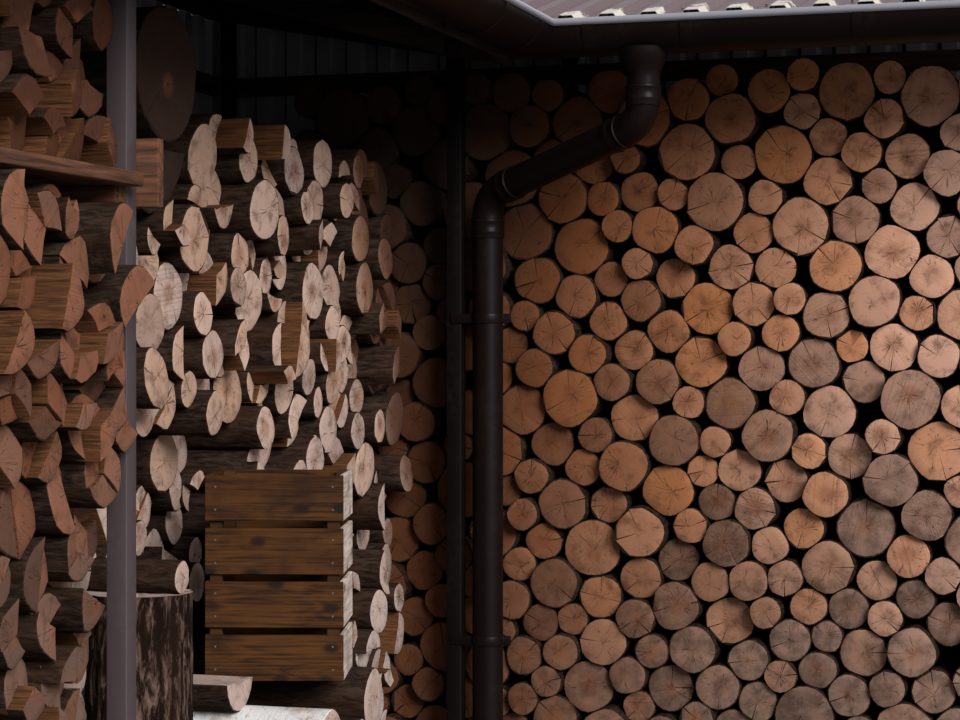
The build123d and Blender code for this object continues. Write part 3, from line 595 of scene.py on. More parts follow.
gutter_paint = painted_steel("gutter_coating", coat_brown, coat_worn, coat_dust, 0.38, 0.15, 0.08)
bead_reflection_paint = painted_steel("bead_painted_reflection", sky_reflection_lilac, (0.10, 0.08, 0.08), (0.26, 0.24, 0.25), 0.32, 0.6)


class Pile:
    """Points, faces, finishes and grain places, gathered for one mesh."""

    def __init__(self):
        self.points, self.faces, self.finish, self.grain, self.count = [], [], [], [], 0

    def add(self, points, faces, finish=0, grain=None):
        self.points.append(np.asarray(points))
        self.faces += [tuple(self.count + v for v in face) for face in faces]
        self.finish += finish if isinstance(finish, list) else [finish] * len(faces)
        self.grain += grain or [(0, 0, 0)] * sum(map(len, faces))
        self.count += len(points)

    def mesh(self, name, materials, smooth=None):
        """The mesh itself; smooth is the angle in degrees over which an edge stays sharp."""
        mesh = bpy.data.meshes.new(name)
        mesh.from_pydata(np.vstack(self.points).tolist(), [], self.faces)
        for material in materials:
            mesh.materials.append(material)
        mesh.polygons.foreach_set("material_index", self.finish)
        place = mesh.attributes.new("grain", "FLOAT_VECTOR", "CORNER")
        place.data.foreach_set("vector", np.array(self.grain, dtype=np.float32).reshape(-1))
        mesh.validate()
        tidy = bmesh.new()
        tidy.from_mesh(mesh)
        bmesh.ops.recalc_face_normals(tidy, faces=tidy.faces)
        tidy.to_mesh(mesh)
        tidy.free()
        if smooth is not None:
            mesh.shade_smooth()
            mesh.set_sharp_from_angle(angle=math.radians(smooth))
        return mesh

    def build(self, name, materials, smooth=None):
        """The mesh as a shown piece."""
        return shown(name, self.mesh(name, materials, smooth))


def ring_faces(rings, turns, closed=True):
    """Quads between rings of points laid one after another."""
    faces = []
    for ring in range(rings if closed else rings - 1):
        a, b = ring * turns, (ring + 1) % rings * turns
        for k in range(turns):
            n = (k + 1) % turns
            faces.append((a + k, a + n, b + n, b + k))
    return faces


def hung(radius, start, stop, count):
    """Points of an arc under the rim, round the trough's axis, between two bearings in degrees."""
    bearings = np.linspace(math.radians(start), math.radians(stop), count)
    return np.column_stack([trough_axis + radius * np.cos(bearings), rim - radius * np.sin(bearings)])


def section_loop():
    """The gutter's section as one closed loop of (distance out, height), its bead at the front."""
    outer, inner = hung(trough_radius, 8, 180, arc_points), hung(trough_radius - trough_wall, 180, 9, arc_points)
    bearings = np.linspace(math.radians(215), math.radians(-75), bead_points)
    bead = np.column_stack([bead_centre + bead_radius * np.cos(bearings), rim + bead_radius * np.sin(bearings)])
    return np.vstack([outer, inner, bead])


def add_run(pile, loop, start, stop, wing, beaded=False):
    """The loop swept along a wing; start and stop may differ from point to point."""
    rings = []
    for place in (start, stop):
        along = np.broadcast_to(place, len(loop))
        if wing == "right":
            rings.append(np.column_stack([along, -loop[:, 0], loop[:, 1]]))
        else:
            rings.append(np.column_stack([loop[:, 0], -along, loop[:, 1]]))
    count = len(loop)
    faces = ring_faces(2, count, closed=False)
    faces += [tuple(range(count))[::-1], tuple(range(count, 2 * count))]
    finish = [1 if beaded and 2 * arc_points <= k < count - 1 else 0 for k in range(count)] + [0, 0]
    if wing == "right":
        faces = [face[::-1] for face in faces]
    pile.add(np.vstack(rings), faces, finish)


def tube(pile, path, side, wall=0.002, turns=40):
    """A pipe through stations of (point, heading, radius), turned about side, open at both ends."""
    spin = np.linspace(0, math.tau, turns, endpoint=False)
    bore = min(radius for _, _, radius in path) - wall
    rings = []
    for inner in (False, True):
        for point, heading, radius in path[::-1] if inner else path:
            heading = np.asarray(heading, dtype=float)
            up = np.cross(side, heading / np.linalg.norm(heading))
            reach = bore if inner else radius
            rings.append(np.asarray(point) + reach * (np.outer(np.cos(spin), side) + np.outer(np.sin(spin), up)))
    pile.add(np.vstack(rings), ring_faces(len(rings), turns))


loop = section_loop()
pile = Pile()
for start, stop, wing in (
    (loop[:, 0], leg, "right"),
    (loop[:, 0], leg, "left"),
    (leg + seam, outlet_stop, "right"),
    (outlet_stop + seam, right_stop, "right"),
    (leg + seam, left_stop, "left"),
):
    add_run(pile, loop, start, stop, wing, beaded=True)
for stop, wing in ((right_stop, "right"), (left_stop, "left")):
    add_run(pile, hung(cap_radius, 0, 180, 24), stop - cap_thick, stop, wing)


def add_strap(pile, along, wide, thick, wing, plate=False):
    """A band under the trough from rim to rim, with a plate behind it where it is a bracket."""
    reach = trough_radius + strap_gap
    band = np.vstack([hung(reach + thick, 4, 176, arc_points), hung(reach, 176, 4, arc_points)])
    add_run(pile, band, along - wide / 2, along + wide / 2, wing)
    if plate:
        back, low, high = trough_axis - reach, rim + plate_foot, rim + plate_head
        corners = np.array([(back - thick, low), (back - thick, high), (back, high), (back, low)])
        add_run(pile, corners, along - wide / 2, along + wide / 2, wing)


for along, wing in strapped:
    add_strap(pile, along, strap_wide, strap_thick, wing)
for along, wing in bracketed:
    add_strap(pile, along, bracket_wide, bracket_thick, wing, plate=True)
gutters = pile.build("gutters", [gutter_paint, bead_reflection_paint], smooth=35)
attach(gutters, "root")
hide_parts("right_gutter", "left_gutter", "gutter_corner", "gutter_unions", "gutter_brackets")

# Rainwater pipe: an outlet with a funnel, a swan neck of two elbows and a straight, and the downpipe,
# of dark coated steel. Each piece plugs into the socket below it, which has two pressed rings.
pipe_radius, socket, pipe_at, pipe_foot = 0.040, 0.050, (0.087, 0.0), 0.040
socket_stations = (
    (0.0, 0.0417), (0.001, 0.0441), (0.004, 0.0448), (0.007, 0.0441), (0.009, 0.0428), (0.026, 0.0428),
    (0.029, 0.0440), (0.032, 0.0443), (0.035, 0.0440), (0.038, 0.0428), (socket - 0.006, 0.0428),
    (socket - 0.001, 0.0416), (socket, pipe_radius),
)
outlet_x, funnel_top, funnel_radius, funnel_long, spigot_foot = 0.57, 1.999, 0.0605, 0.066, 1.869
lip_rise, lip_reach, spigot_wall = 0.006, 0.001, 0.0019
neck_top = np.array((outlet_x, -trough_axis, 1.826))
neck_foot = np.array((*pipe_at, 1.680))
neck_way = (neck_foot - neck_top) / np.linalg.norm(neck_foot - neck_top)
down = np.array((0.0, 0.0, -1.0))
bend = math.acos(float(neck_way @ down))
bend_radius, elbow_leg, seat = 0.075, 0.052, 0.045
bend_reach = bend_radius * math.tan(bend / 2)
side = np.cross(down, neck_way)
side /= np.linalg.norm(side)


def socketed(start, heading, further):
    """Stations of a socket with its two pressed rings, and then the further stations."""
    return [(start + heading * along, heading, radius) for along, radius in socket_stations] + further


def elbow(start, corner, first, second, stop, side):
    """Stations of an elbow piece from its socket's mouth round the corner to its plain end."""
    inward = np.cross(side, first)
    centre = corner - first * bend_reach + inward * bend_radius
    stations = []
    for turn in np.linspace(0, bend, 15):
        heading = first * math.cos(turn) + inward * math.sin(turn)
        stations.append((centre - np.cross(side, heading) * bend_radius, heading, pipe_radius))
    return socketed(start, first, stations + [(stop, second, pipe_radius)])


upper_start = np.array((outlet_x, -trough_axis, spigot_foot + seat))
upper_stop = neck_top + neck_way * (bend_reach + elbow_leg)
lower_start = neck_foot - neck_way * (bend_reach + elbow_leg)
lower_stop = neck_foot + down * (bend_reach + elbow_leg)
pile = Pile()
flare = [(funnel_top + lip_rise, funnel_radius + lip_reach), (funnel_top, funnel_radius)]
for t in np.linspace(0.1, 1, 9):
    narrowed = (funnel_radius - pipe_radius) * (3 * t**2 - 2 * t**3)
    flare.append((funnel_top - t * funnel_long, funnel_radius - narrowed))
flare.append((spigot_foot, pipe_radius))
tube(pile, [(np.array((outlet_x, -trough_axis, z)), down, r) for z, r in flare], side, wall=spigot_wall)
tube(pile, elbow(upper_start, neck_top, down, neck_way, upper_stop, side), side)
straight_start, straight_stop = upper_stop - neck_way * seat, lower_start + neck_way * seat
tube(pile, socketed(straight_start, neck_way, [(straight_stop, neck_way, pipe_radius)]), side)
tube(pile, elbow(lower_start, neck_foot, neck_way, down, lower_stop, -side), -side)
pipe_start = lower_stop - down * seat
tube(pile, socketed(pipe_start, down, [(np.array((*pipe_at, pipe_foot)), down, pipe_radius)]), side)
rain_pipe = pile.build("rain_pipe", [gutter_paint], smooth=40)
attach(rain_pipe, "root")
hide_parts("gutter_outlet", "swan_neck", "downpipe")
eased("clamp_bands", ["pipe_clamps"], 0.0008, gutter_paint)

# Firewood: round logs about 110 mm thick, sawn across, in thin dark bark, laid on sleepers with their
# ends to the yard. Each log is built on its CAD solid, and swells a little into the gaps round it.
swell, swell_share, bark_share = 0.095, 0.6, 0.05
side_steps, cleft_gap, cleft_step = (0.10, 0.018), 0.0016, 0.018
wobble_size, cleft_skin, rim_depth, crack_depth = 0.013, 0.0006, 0.0015, 0.010
thick_log, thick_spokes, thin_spokes, arc_step, open_turn = 0.045, 22, 18, 0.30, 2.4
cracked_from, sawn_rings = 0.036, (1.0, 0.62)
wood_warm, wood_tan, wood_pink = (0.46, 0.175, 0.068), (0.51, 0.245, 0.140), (0.72, 0.445, 0.350)
# The last colour on the next line is painted shade, laid on sawn ends towards the inner corner and high up.
wood_grey, wood_shade, painted_corner_shade = (0.110, 0.072, 0.056), (0.050, 0.021, 0.011), (0.105, 0.030, 0.008)
# The second colour on the next line is the checks' black and also the painted shade of the deepest corner.
heart_brown, check_and_corner_shade_black = (0.235, 0.085, 0.040), (0.012, 0.007, 0.005)
# Bark and torn-wood colours: the logs' own dark brown, pushed darker still as painted shade on the sides between the
# logs.
bark_dark, bark_pale, bark_red = (0.006, 0.0035, 0.0025), (0.042, 0.026, 0.019), (0.030, 0.012, 0.007)
torn_dark, torn_orange, torn_grey = (0.022, 0.008, 0.003), (0.17, 0.068, 0.026), (0.075, 0.028, 0.011)


def laid_wood(node, wing):
    """Each solid of a stack as (outline, front, back): the outline goes round the end as it is seen
    from the yard, in metres to the right and up, and front and back are depths into the wing."""
    wood = []
    for corners in loose_solids(node):
        across, depth = (corners[:, 0], corners[:, 1]) if wing == "right" else (corners[:, 1], -corners[:, 0])
        front, back = depth.min(), depth.max()
        at_front = depth < front + 0.001
        outline = np.column_stack([across[at_front], corners[at_front, 2]])
        middle = outline.mean(axis=0)
        order = np.argsort(np.arctan2(outline[:, 1] - middle[1], outline[:, 0] - middle[0]))
        wood.append((outline[order], front, back))
    wood.sort(key=lambda log: tuple(log[0].mean(axis=0)))
    return wood


def into_wing(wing, across, up, depth):
    """Points of a stack in the row's frame."""
    if wing == "right":
        return np.column_stack([across, depth, up])
    return np.column_stack([-depth, across, up])


def circle_through(points):
    """The centre and radius of the circle that fits these points best."""
    rows = np.column_stack([2 * points, np.ones(len(points))])
    fit = np.linalg.lstsq(rows, (points**2).sum(axis=1), rcond=None)[0]
    return fit[:2], math.sqrt(fit[2] + fit[:2] @ fit[:2])


def cleft_sides(outlines):
    """For each outline the sides that lie face to face with another piece of the same log."""
    owners = [(piece, k) for piece, outline in enumerate(outlines) for k in range(len(outline))]
    starts = np.vstack(outlines)
    stops = np.vstack([np.roll(outline, -1, axis=0) for outline in outlines])
    found = {}
    for (piece, k), start, stop in zip(owners, starts, stops):
        facing = np.maximum(np.linalg.norm(stops - start, axis=1), np.linalg.norm(starts - stop, axis=1))
        for other in np.flatnonzero(facing < cleft_gap):
            if owners[other][0] != piece:
                found.setdefault(piece, {})[k] = owners[other][0]
    return found


def whole_logs(outlines):
    """The circle of the log that each piece comes from, the bearings that the piece spans, and
    whether it reaches in to the log's heart."""
    found = cleft_sides(outlines)
    owner = list(range(len(outlines)))
    for piece, partners in found.items():
        for other in partners.values():
            low, high = sorted((owner[piece], owner[other]))
            owner = [low if mark == high else mark for mark in owner]
    logs = []
    for piece, outline in enumerate(outlines):
        kin = [other for other in range(len(outlines)) if owner[other] == owner[piece]]
        corners = []
        for other in kin:
            cut = set()
            for k in found.get(other, {}):
                cut |= {k, (k + 1) % len(outlines[other])}
            corners += [outlines[other][k] for k in range(len(outlines[other])) if k not in cut]
        if len(corners) < 4:
            corners = np.vstack([outlines[other] for other in kin])
        centre, radius = circle_through(np.array(corners))
        away = outline.mean(axis=0) - centre
        facing = math.atan2(away[1], away[0])
        spread = np.angle(np.exp(1j * (np.arctan2(*(outline - centre).T[::-1]) - facing)))
        gaps = np.diff(np.sort(spread), append=np.sort(spread)[0] + math.tau)
        if len(kin) > 1:
            span = (facing - math.pi / len(kin), facing + math.pi / len(kin))
        elif gaps.max() > open_turn:
            span = (facing + spread.min(), facing + spread.max())
        else:
            span = None
        logs.append((centre, radius, span, len(kin) > 2))
    return logs


def free_reach(centre, radius, angles, centres, radii):
    """How far a log may swell along each angle before it meets the ones round it."""
    offset = centres - centre
    apart = np.linalg.norm(offset, axis=1)
    near = (apart > 0.004) & (apart < 2.2 * (radius + radii.max()))
    offset, apart, others = offset[near], apart[near], radii[near]
    toward = np.column_stack([np.cos(angles), np.sin(angles)]) @ offset.T
    halfway = (apart**2 + radius**2 - others**2) / 2
    reach = np.where(toward > 1e-6, halfway / np.maximum(toward, 1e-6), 9).min(axis=1, initial=9)
    return radius + np.clip((reach - radius) * swell_share, 0, radius * swell)


def uneven(shape, angles, wobble):
    """The reach round a log with these slow waves (count, size, start) put on it."""
    return shape * (1 + sum(size * np.cos(k * angles + start) for k, size, start in wobble))


def on_rim(centre, shape, angles):
    """Points round a centre at these reaches and angles."""
    return centre + shape[:, None] * np.column_stack([np.cos(angles), np.sin(angles)])


def log_ring(log, others, chance):
    """Points round a piece's end, which edges carry bark, and the middle that its faces close on."""
    centre, radius, span, to_heart = log
    wobble = [(k, chance.uniform(-1, 1) * wobble_size, chance.uniform(0, math.tau)) for k in (2, 3, 4, 5, 7)]
    if span is None:
        spokes = thick_spokes if radius > thick_log else thin_spokes
        angles = chance.uniform(0, 1) + np.linspace(0, math.tau, spokes, endpoint=False)
        shape = free_reach(centre, radius, angles, *others)
        shape = (np.roll(shape, 1) + 2 * shape + np.roll(shape, -1)) / 4
        return on_rim(centre, uneven(shape, angles, wobble), angles), [True] * spokes, centre
    low, high = span
    count = max(6, round((high - low) / arc_step))
    angles = np.linspace(low, high, count)
    shape = free_reach(centre, radius, angles, *others)
    arc = on_rim(centre, uneven(shape, angles, wobble), angles)
    barked = [True] * (count - 1)
    corners = [arc[-1], centre, arc[0]] if to_heart else [arc[-1], arc[0]]
    cut = []
    for a, b in zip(corners, corners[1:]):
        long = float(np.linalg.norm(b - a))
        steps = max(2, round(long / cleft_step))
        way = (b - a) / max(long, 1e-9)
        inward = np.array([-way[1], way[0]])
        bow = chance.uniform(-0.004, 0.003)
        for step in range(steps):
            t = step / steps
            rough = abs(chance.gauss(0, 0.0012)) + 0.0008
            cut.append(a + (b - a) * t + inward * (rough + max(0, bow * math.sin(math.pi * t))))
            barked.append(False)
    ring = np.vstack([arc, cut[1:]])
    return ring, barked[: len(ring)], ring.mean(axis=0)


def add_log(pile, wing, piece, log, others, chance, tints, lean=0.035):
    """One piece of firewood: bark or cleft sides, the bark's rim, and the sawn end with its cracks."""
    _, front, back = piece
    centre, radius, span, _ = log
    ring, barked, middle = log_ring(log, others, chance)
    count = len(ring)
    seed = chance.random()
    tilt = np.array([chance.gauss(0, lean), chance.gauss(0, lean)])
    out = ring - middle
    reach = np.linalg.norm(out, axis=1)
    bark = radius * bark_share * chance.uniform(0.5, 1.5)
    skin = np.array([bark if barked[k] and barked[k - 1] else cleft_skin for k in range(count)])
    cracks = {}
    for _ in range(chance.choice((0, 0, 1, 1, 2, 3)) if radius > cracked_from else 0):
        cracks[chance.randrange(count)] = (chance.uniform(0.0007, 0.0019), chance.uniform(-0.2, 0.55))
    if span is not None:
        cracks = {}
    rings = [np.column_stack([ring, np.full(count, back)])]
    drift = np.array([chance.gauss(0, 1) for _ in range(count)])
    rough = 0.011 if span is None else 0.016
    for depth in side_steps:
        drift = 0.6 * drift + 0.8 * np.array([chance.gauss(0, 1) for _ in range(count)])
        around = middle + out * (1 - rough * np.abs(drift))[:, None]
        rings.append(np.column_stack([around, front + depth + (around - middle) @ tilt]))
    around = middle + out * (1 - 0.25 * skin / reach)[:, None]
    rings.append(np.column_stack([around, front + rim_depth + (around - middle) @ tilt]))
    for share in sawn_rings:
        around = middle + out * (share * (1 - skin / reach))[:, None]
        sunk = np.array([abs(chance.gauss(0, 0.0005)) for _ in range(count)])
        for place, (wide, heart) in cracks.items():
            spread = wide * (0.4 + 0.6 * share) / (radius * share)
            for side in (-1, 1):
                near = (place + side) % count
                bearing = math.atan2(*(around[place] - middle)[::-1]) + side * spread
                long = np.linalg.norm(around[near] - middle)
                around[near] = middle + long * np.array([math.cos(bearing), math.sin(bearing)])
            if share > heart:
                sunk[place] = crack_depth
        rings.append(np.column_stack([around, front + sunk + (around - middle) @ tilt]))
    points = np.vstack(rings + [[[*middle, front]]])
    short = points[:, 2].min() - front
    points[points[:, 2] < front + 0.2, 2] -= min(short, 0)
    pith = centre + np.array([chance.gauss(0, 0.09), chance.gauss(0, 0.09)]) * radius
    length = np.concatenate([[0], np.cumsum(np.linalg.norm(np.roll(ring, -1, axis=0) - ring, axis=1))])
    skin_finish, cleft_finish, end_finish = tints
    faces, finish, grain = [], [], []

    def add_end(*face):
        """A face of the sawn wood, its grain places measured from the pith."""
        faces.append(face)
        finish.append(end_finish)
        grain.extend((*(points[v, :2] - pith), seed) for v in face)

    rim_level = len(side_steps) + 1
    for level in range(len(rings) - 1):
        for k in range(count):
            n = (k + 1) % count
            quad = (level * count + k, level * count + n, (level + 1) * count + n, (level + 1) * count + k)
            if level < rim_level or level == rim_level and barked[k]:
                faces.append(quad)
                finish.append(skin_finish if barked[k] else cleft_finish)
                grain += [(length[k if v % count == k else k + 1], points[v, 2] - front, seed) for v in quad]
            else:
                add_end(*quad)
    last, heart = (len(rings) - 1) * count, len(points) - 1
    for k in range(count):
        add_end(last + k, last + (k + 1) % count, heart)
    add_end(*range(count)[::-1])
    pile.add(into_wing(wing, points[:, 0], points[:, 1], points[:, 2]), faces, finish, grain)


def grain_place(tree):
    """The three values of a mesh's grain places: two in metres, and one that differs by piece."""
    made = tree.nodes.new("ShaderNodeAttribute")
    made.attribute_name = "grain"
    return add_node(tree, "ShaderNodeSeparateXYZ", Vector=made.outputs["Vector"]).outputs


def sawn_effect():
    """What a saw and the weather leave on a log's end: rings, checks, saw marks and blotches."""
    sockets = [("Ring Pitch", "Float", 0.003), ("Mark Pitch", "Float", 0.003)]
    labels = ("Rings", "Checks", "Marks", "Blotch", "Heart", "Pick A", "Pick B", "Pick C")
    results = [(name, "Float") for name in labels]
    group, given, out = effect_group("sawn_end", sockets, results)
    x, y, seed = grain_place(group)
    white = group.nodes.new("ShaderNodeTexWhiteNoise")
    white.noise_dimensions = "1D"
    group.links.new(seed, white.inputs["W"])
    pick = add_node(group, "ShaderNodeSeparateColor", Color=white.outputs["Color"]).outputs
    flat = xyz(group, X=x, Y=y, Z=maths(group, "MULTIPLY", seed, 40.0))
    apart = maths(group, "SQRT", maths(group, "ADD", maths(group, "MULTIPLY", x, x), maths(group, "MULTIPLY", y, y)))
    drift = maths(group, "MULTIPLY", maths(group, "SUBTRACT", noise(group, flat, 30.0, 3), 0.5), 0.02)
    turns = maths(group, "DIVIDE", maths(group, "ADD", apart, drift), given["Ring Pitch"])
    ringed = maths(group, "SINE", maths(group, "MULTIPLY", turns, math.tau))
    group.links.new(maths(group, "MULTIPLY_ADD", ringed, 0.5, 0.5), out["Rings"])
    bearing = maths(group, "ARCTAN2", y, x)
    inward = maths(group, "MULTIPLY_ADD", seed, 50.0, maths(group, "MULTIPLY", apart, 2.5))
    spun = xyz(group, X=maths(group, "COSINE", bearing), Y=maths(group, "SINE", bearing), Z=inward)
    angular = maths(group, "ABSOLUTE", maths(group, "SUBTRACT", noise(group, spun, 2.6, 2, 0.6), 0.5))
    width = maths(group, "DIVIDE", 0.00026, maths(group, "MAXIMUM", apart, 0.004))
    check = maths(group, "SUBTRACT", 1.0, maths(group, "MINIMUM", maths(group, "DIVIDE", angular, width), 1.0))
    reach = stepped(group, noise(group, flat, 22.0, 2), 0.40, 0.56)
    group.links.new(maths(group, "MULTIPLY", maths(group, "SQRT", check), reach), out["Checks"])
    turn = maths(group, "MULTIPLY", pick[0], math.tau)
    across = maths(group, "MULTIPLY", x, maths(group, "COSINE", turn))
    across = maths(group, "MULTIPLY_ADD", y, maths(group, "SINE", turn), across)
    tooth = maths(group, "DIVIDE", across, given["Mark Pitch"])
    teeth = xyz(group, X=tooth, Y=maths(group, "MULTIPLY", seed, 90.0))
    saw = stepped(group, noise(group, teeth, 1.0, 3, 0.7), 0.50, 0.70)
    group.links.new(maths(group, "MULTIPLY", saw, stepped(group, pick[1], 0.3, 0.9, 0.15, 1.0)), out["Marks"])
    group.links.new(noise(group, flat, 24.0, 5, 0.6), out["Blotch"])
    group.links.new(stepped(group, apart, 0.012, 0.034, 1.0, 0.0), out["Heart"])
    for number, label in enumerate(labels[5:]):
        group.links.new(pick[number], out[label])
    return group


sawn_end = sawn_effect()


def end_grain(name, warm, tan, pink, grey, dimmed=0.38, corner_shade_reach=0.3):
    """Sawn log end: warm tan to pinkish, pinker right and low, greyer low, darker heart, painted corner shade."""
    made, tree, shader = new_material(name)
    got = placed(tree, sawn_end)
    x, y, z = add_node(tree, "ShaderNodeSeparateXYZ", Vector=object_place(tree)).outputs
    drift = maths(tree, "MULTIPLY_ADD", got["Pick C"], 0.7, -0.35)
    up = maths(tree, "ADD", z, drift)
    out = maths(tree, "ADD", x, maths(tree, "MULTIPLY", drift, -0.8))
    out = maths(tree, "ADD", out, maths(tree, "MULTIPLY", up, -0.35))
    colour = blended(tree, stepped(tree, got["Pick A"], 0.15, 0.8), warm, tan)
    colour = blended(tree, stepped(tree, out, 0.1, 1.3, 0.0, 0.75), colour, pink)
    low = stepped(tree, up, 0.45, 1.35, 0.95, 0.0)
    greyed = maths(tree, "MULTIPLY", low, stepped(tree, got["Blotch"], 0.3, 0.6, 0.75, 1.0))
    stray = stepped(tree, got["Pick B"], 0.86, 0.96, 0.0, 0.5)
    colour = blended(tree, maths(tree, "MAXIMUM", greyed, stray), colour, grey)
    heart = maths(tree, "MULTIPLY", got["Heart"], stepped(tree, got["Pick B"], 0.2, 0.8, 0.0, 0.55))
    colour = blended(tree, heart, colour, heart_brown)
    colour = blended(tree, maths(tree, "MULTIPLY", got["Rings"], 0.10), colour, wood_shade)
    colour = blended(tree, maths(tree, "MULTIPLY", got["Marks"], 0.6), colour, wood_shade)
    colour = blended(tree, stepped(tree, got["Blotch"], 0.48, 0.75, 0.0, 0.65), colour, wood_shade)
    # Painted shade: the ends darken towards the inner corner and high up under the roof, first to a dark
    # orange-brown, then to near black.
    from_corner = maths(tree, "MAXIMUM", x, maths(tree, "MULTIPLY", y, -1.0))
    from_corner = maths(tree, "MULTIPLY_ADD", maths(tree, "SUBTRACT", z, 1.2), -0.40, from_corner)
    colour = blended(tree, stepped(tree, from_corner, 0.0, corner_shade_reach, 0.9, 0.0), colour, painted_corner_shade)
    colour = blended(tree, stepped(tree, from_corner, -0.35, 0.30, 0.9, 0.0), colour, check_and_corner_shade_black)
    dim = stepped(tree, got["Pick C"], 0.0, 0.35, dimmed, 0.0)
    colour = blended(tree, dim, colour, wood_shade)
    colour = blended(tree, maths(tree, "MULTIPLY", got["Checks"], 0.9), colour, check_and_corner_shade_black)
    relief = maths(tree, "MULTIPLY_ADD", got["Marks"], -0.3, maths(tree, "MULTIPLY", got["Checks"], -1.0))
    relief = maths(tree, "MULTIPLY_ADD", got["Rings"], 0.06, relief)
    coated(tree, shader, colour, 0.85, relief, 0.6, 0.002)
    return made


def bark_effect():
    """Plates and furrows that run along a log: ridges from 0 to 1, and a slow tint."""
    sockets = [("Across", "Float", 60.0), ("Along", "Float", 14.0), ("Distortion", "Float", 0.5)]
    group, given, out = effect_group("bark_furrows", sockets, [("Ridges", "Float"), ("Tint", "Float")])
    scales = (given["Across"], given["Along"], 60.0)
    x, y, z = (maths(group, "MULTIPLY", part, scale) for part, scale in zip(grain_place(group), scales))
    drawn = xyz(group, X=x, Y=y, Z=z)
    group.links.new(noise(group, drawn, 1.5, 6.0, 0.7, given["Distortion"]), out["Ridges"])
    group.links.new(noise(group, drawn, 0.35, 3), out["Tint"])
    return group


bark_furrows = bark_effect()


def barked(name, furrow, ridge, tint, across, along, relief, low=0.32, high=0.72):
    """Bark of one kind of log: furrow and ridge colours, and how fine its plates are each way."""
    made, tree, shader = new_material(name, 0.05)
    bark = placed(tree, bark_furrows, Across=across, Along=along)
    colour = blended(tree, stepped(tree, bark["Ridges"], low, high), furrow, ridge)
    colour = blended(tree, stepped(tree, bark["Tint"], 0.35, 0.7, 0.0, 0.5), colour, tint)
    coated(tree, shader, colour, 0.9, bark["Ridges"], 0.9, relief)
    return made


def restack(name, node, wing, seed, finishes, finish_of=None, extra=(), lean=0.035):
    """A stack's logs as one piece in place of its CAD node."""
    chance = random.Random(seed)
    wood = laid_wood(node, wing)
    logs = whole_logs([outline for outline, _, _ in wood])
    centres = np.array([log[0] for log in logs] + [centre for centre, _ in extra])
    radii = np.array([log[1] for log in logs] + [radius for _, radius in extra])
    pile = Pile()
    for piece, log in zip(wood, logs):
        tints = finish_of(piece) if finish_of else (1, 2, 0)
        add_log(pile, wing, piece, log, (centres, radii), chance, tints, lean)
    made = pile.build(name, finishes, smooth=42)
    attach(made, "root")
    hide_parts(node)
    return made


def cleft_face():
    """Split side of a log: long torn fibres, orange-brown where it is fresh, grey where it is old."""
    made, tree, shader = new_material("cleft_face")
    torn = placed(tree, bark_furrows, Across=150.0, Along=7.0)
    colour = blended(tree, stepped(tree, torn["Ridges"], 0.3, 0.7), torn_dark, torn_orange)
    colour = blended(tree, stepped(tree, torn["Tint"], 0.35, 0.7, 0.0, 0.6), colour, torn_grey)
    coated(tree, shader, colour, 0.85, torn["Ridges"], 0.8, 0.004)
    return made


# The back stack's ends take the painted corner shade over a longer reach.
end_wood, cleft_wood = end_grain("end_grain", wood_warm, wood_tan, wood_pink, wood_grey, corner_shade_reach=1.1), cleft_face()
log_bark = barked("log_bark", bark_dark, bark_pale, bark_red, 60.0, 14.0, 0.004)
restack("back_logs", "back_stack", "right", 4, [end_wood, log_bark, cleft_wood])

# Left wing: the same firewood, thinner, with bark to the yard's light, some of it cleft. Grey rounds
# lie on top of it, and the logs of the ledge are birch, in white bark with dark flecks.
birch_white, birch_fleck, birch_tan = (0.62, 0.60, 0.59), (0.055, 0.040, 0.035), (0.42, 0.33, 0.27)
round_furrow, round_ridge = (0.005, 0.003, 0.0025), (0.040, 0.028, 0.022)
birch_from, birch_over, ledge_depth = 1.25, 0.40, -0.05
left_tones = (0.42, 0.255, 0.175), (0.50, 0.345, 0.275), (0.52, 0.37, 0.31), (0.42, 0.34, 0.31)
grey_tones = (0.022, 0.011, 0.007), (0.027, 0.015, 0.010), (0.030, 0.018, 0.013), (0.033, 0.022, 0.017)


def birch_bark():
    """Birch: papery white bark with dark flecks across the log and tan where it has peeled."""
    made, tree, shader = new_material("birch_bark")
    x, y, z = (maths(tree, "MULTIPLY", part, scale) for part, scale in zip(grain_place(tree), (45.0, 190.0, 60.0)))
    flecks = noise(tree, xyz(tree, X=x, Y=y, Z=z), 1.0, 3, 0.6)
    peel = noise(tree, object_place(tree), 14.0, 5, 0.65)
    colour = blended(tree, stepped(tree, peel, 0.50, 0.66), birch_white, birch_tan)
    colour = blended(tree, stepped(tree, flecks, 0.62, 0.72, 0.0, 0.85), colour, birch_fleck)
    colour = blended(tree, stepped(tree, noise(tree, object_place(tree), 5.0, 4), 0.6, 0.75), colour, birch_fleck)
    coated(tree, shader, colour, 0.6, maths(tree, "SUBTRACT", peel, flecks), 0.6, 0.002)
    return made


def left_finish(piece):
    """Which finishes a log of the left wing takes: birch where the ledge stands out at its right."""
    outline, front, _ = piece
    along, top = -outline[:, 0].mean(), outline[:, 1].max()
    on_ledge = front < ledge_depth and birch_from < along and birch_over < top
    return (3, 2, 0) if on_ledge else (1, 2, 0)


birch = birch_bark()
left_end = end_grain("left_end_grain", *left_tones, 0.3)
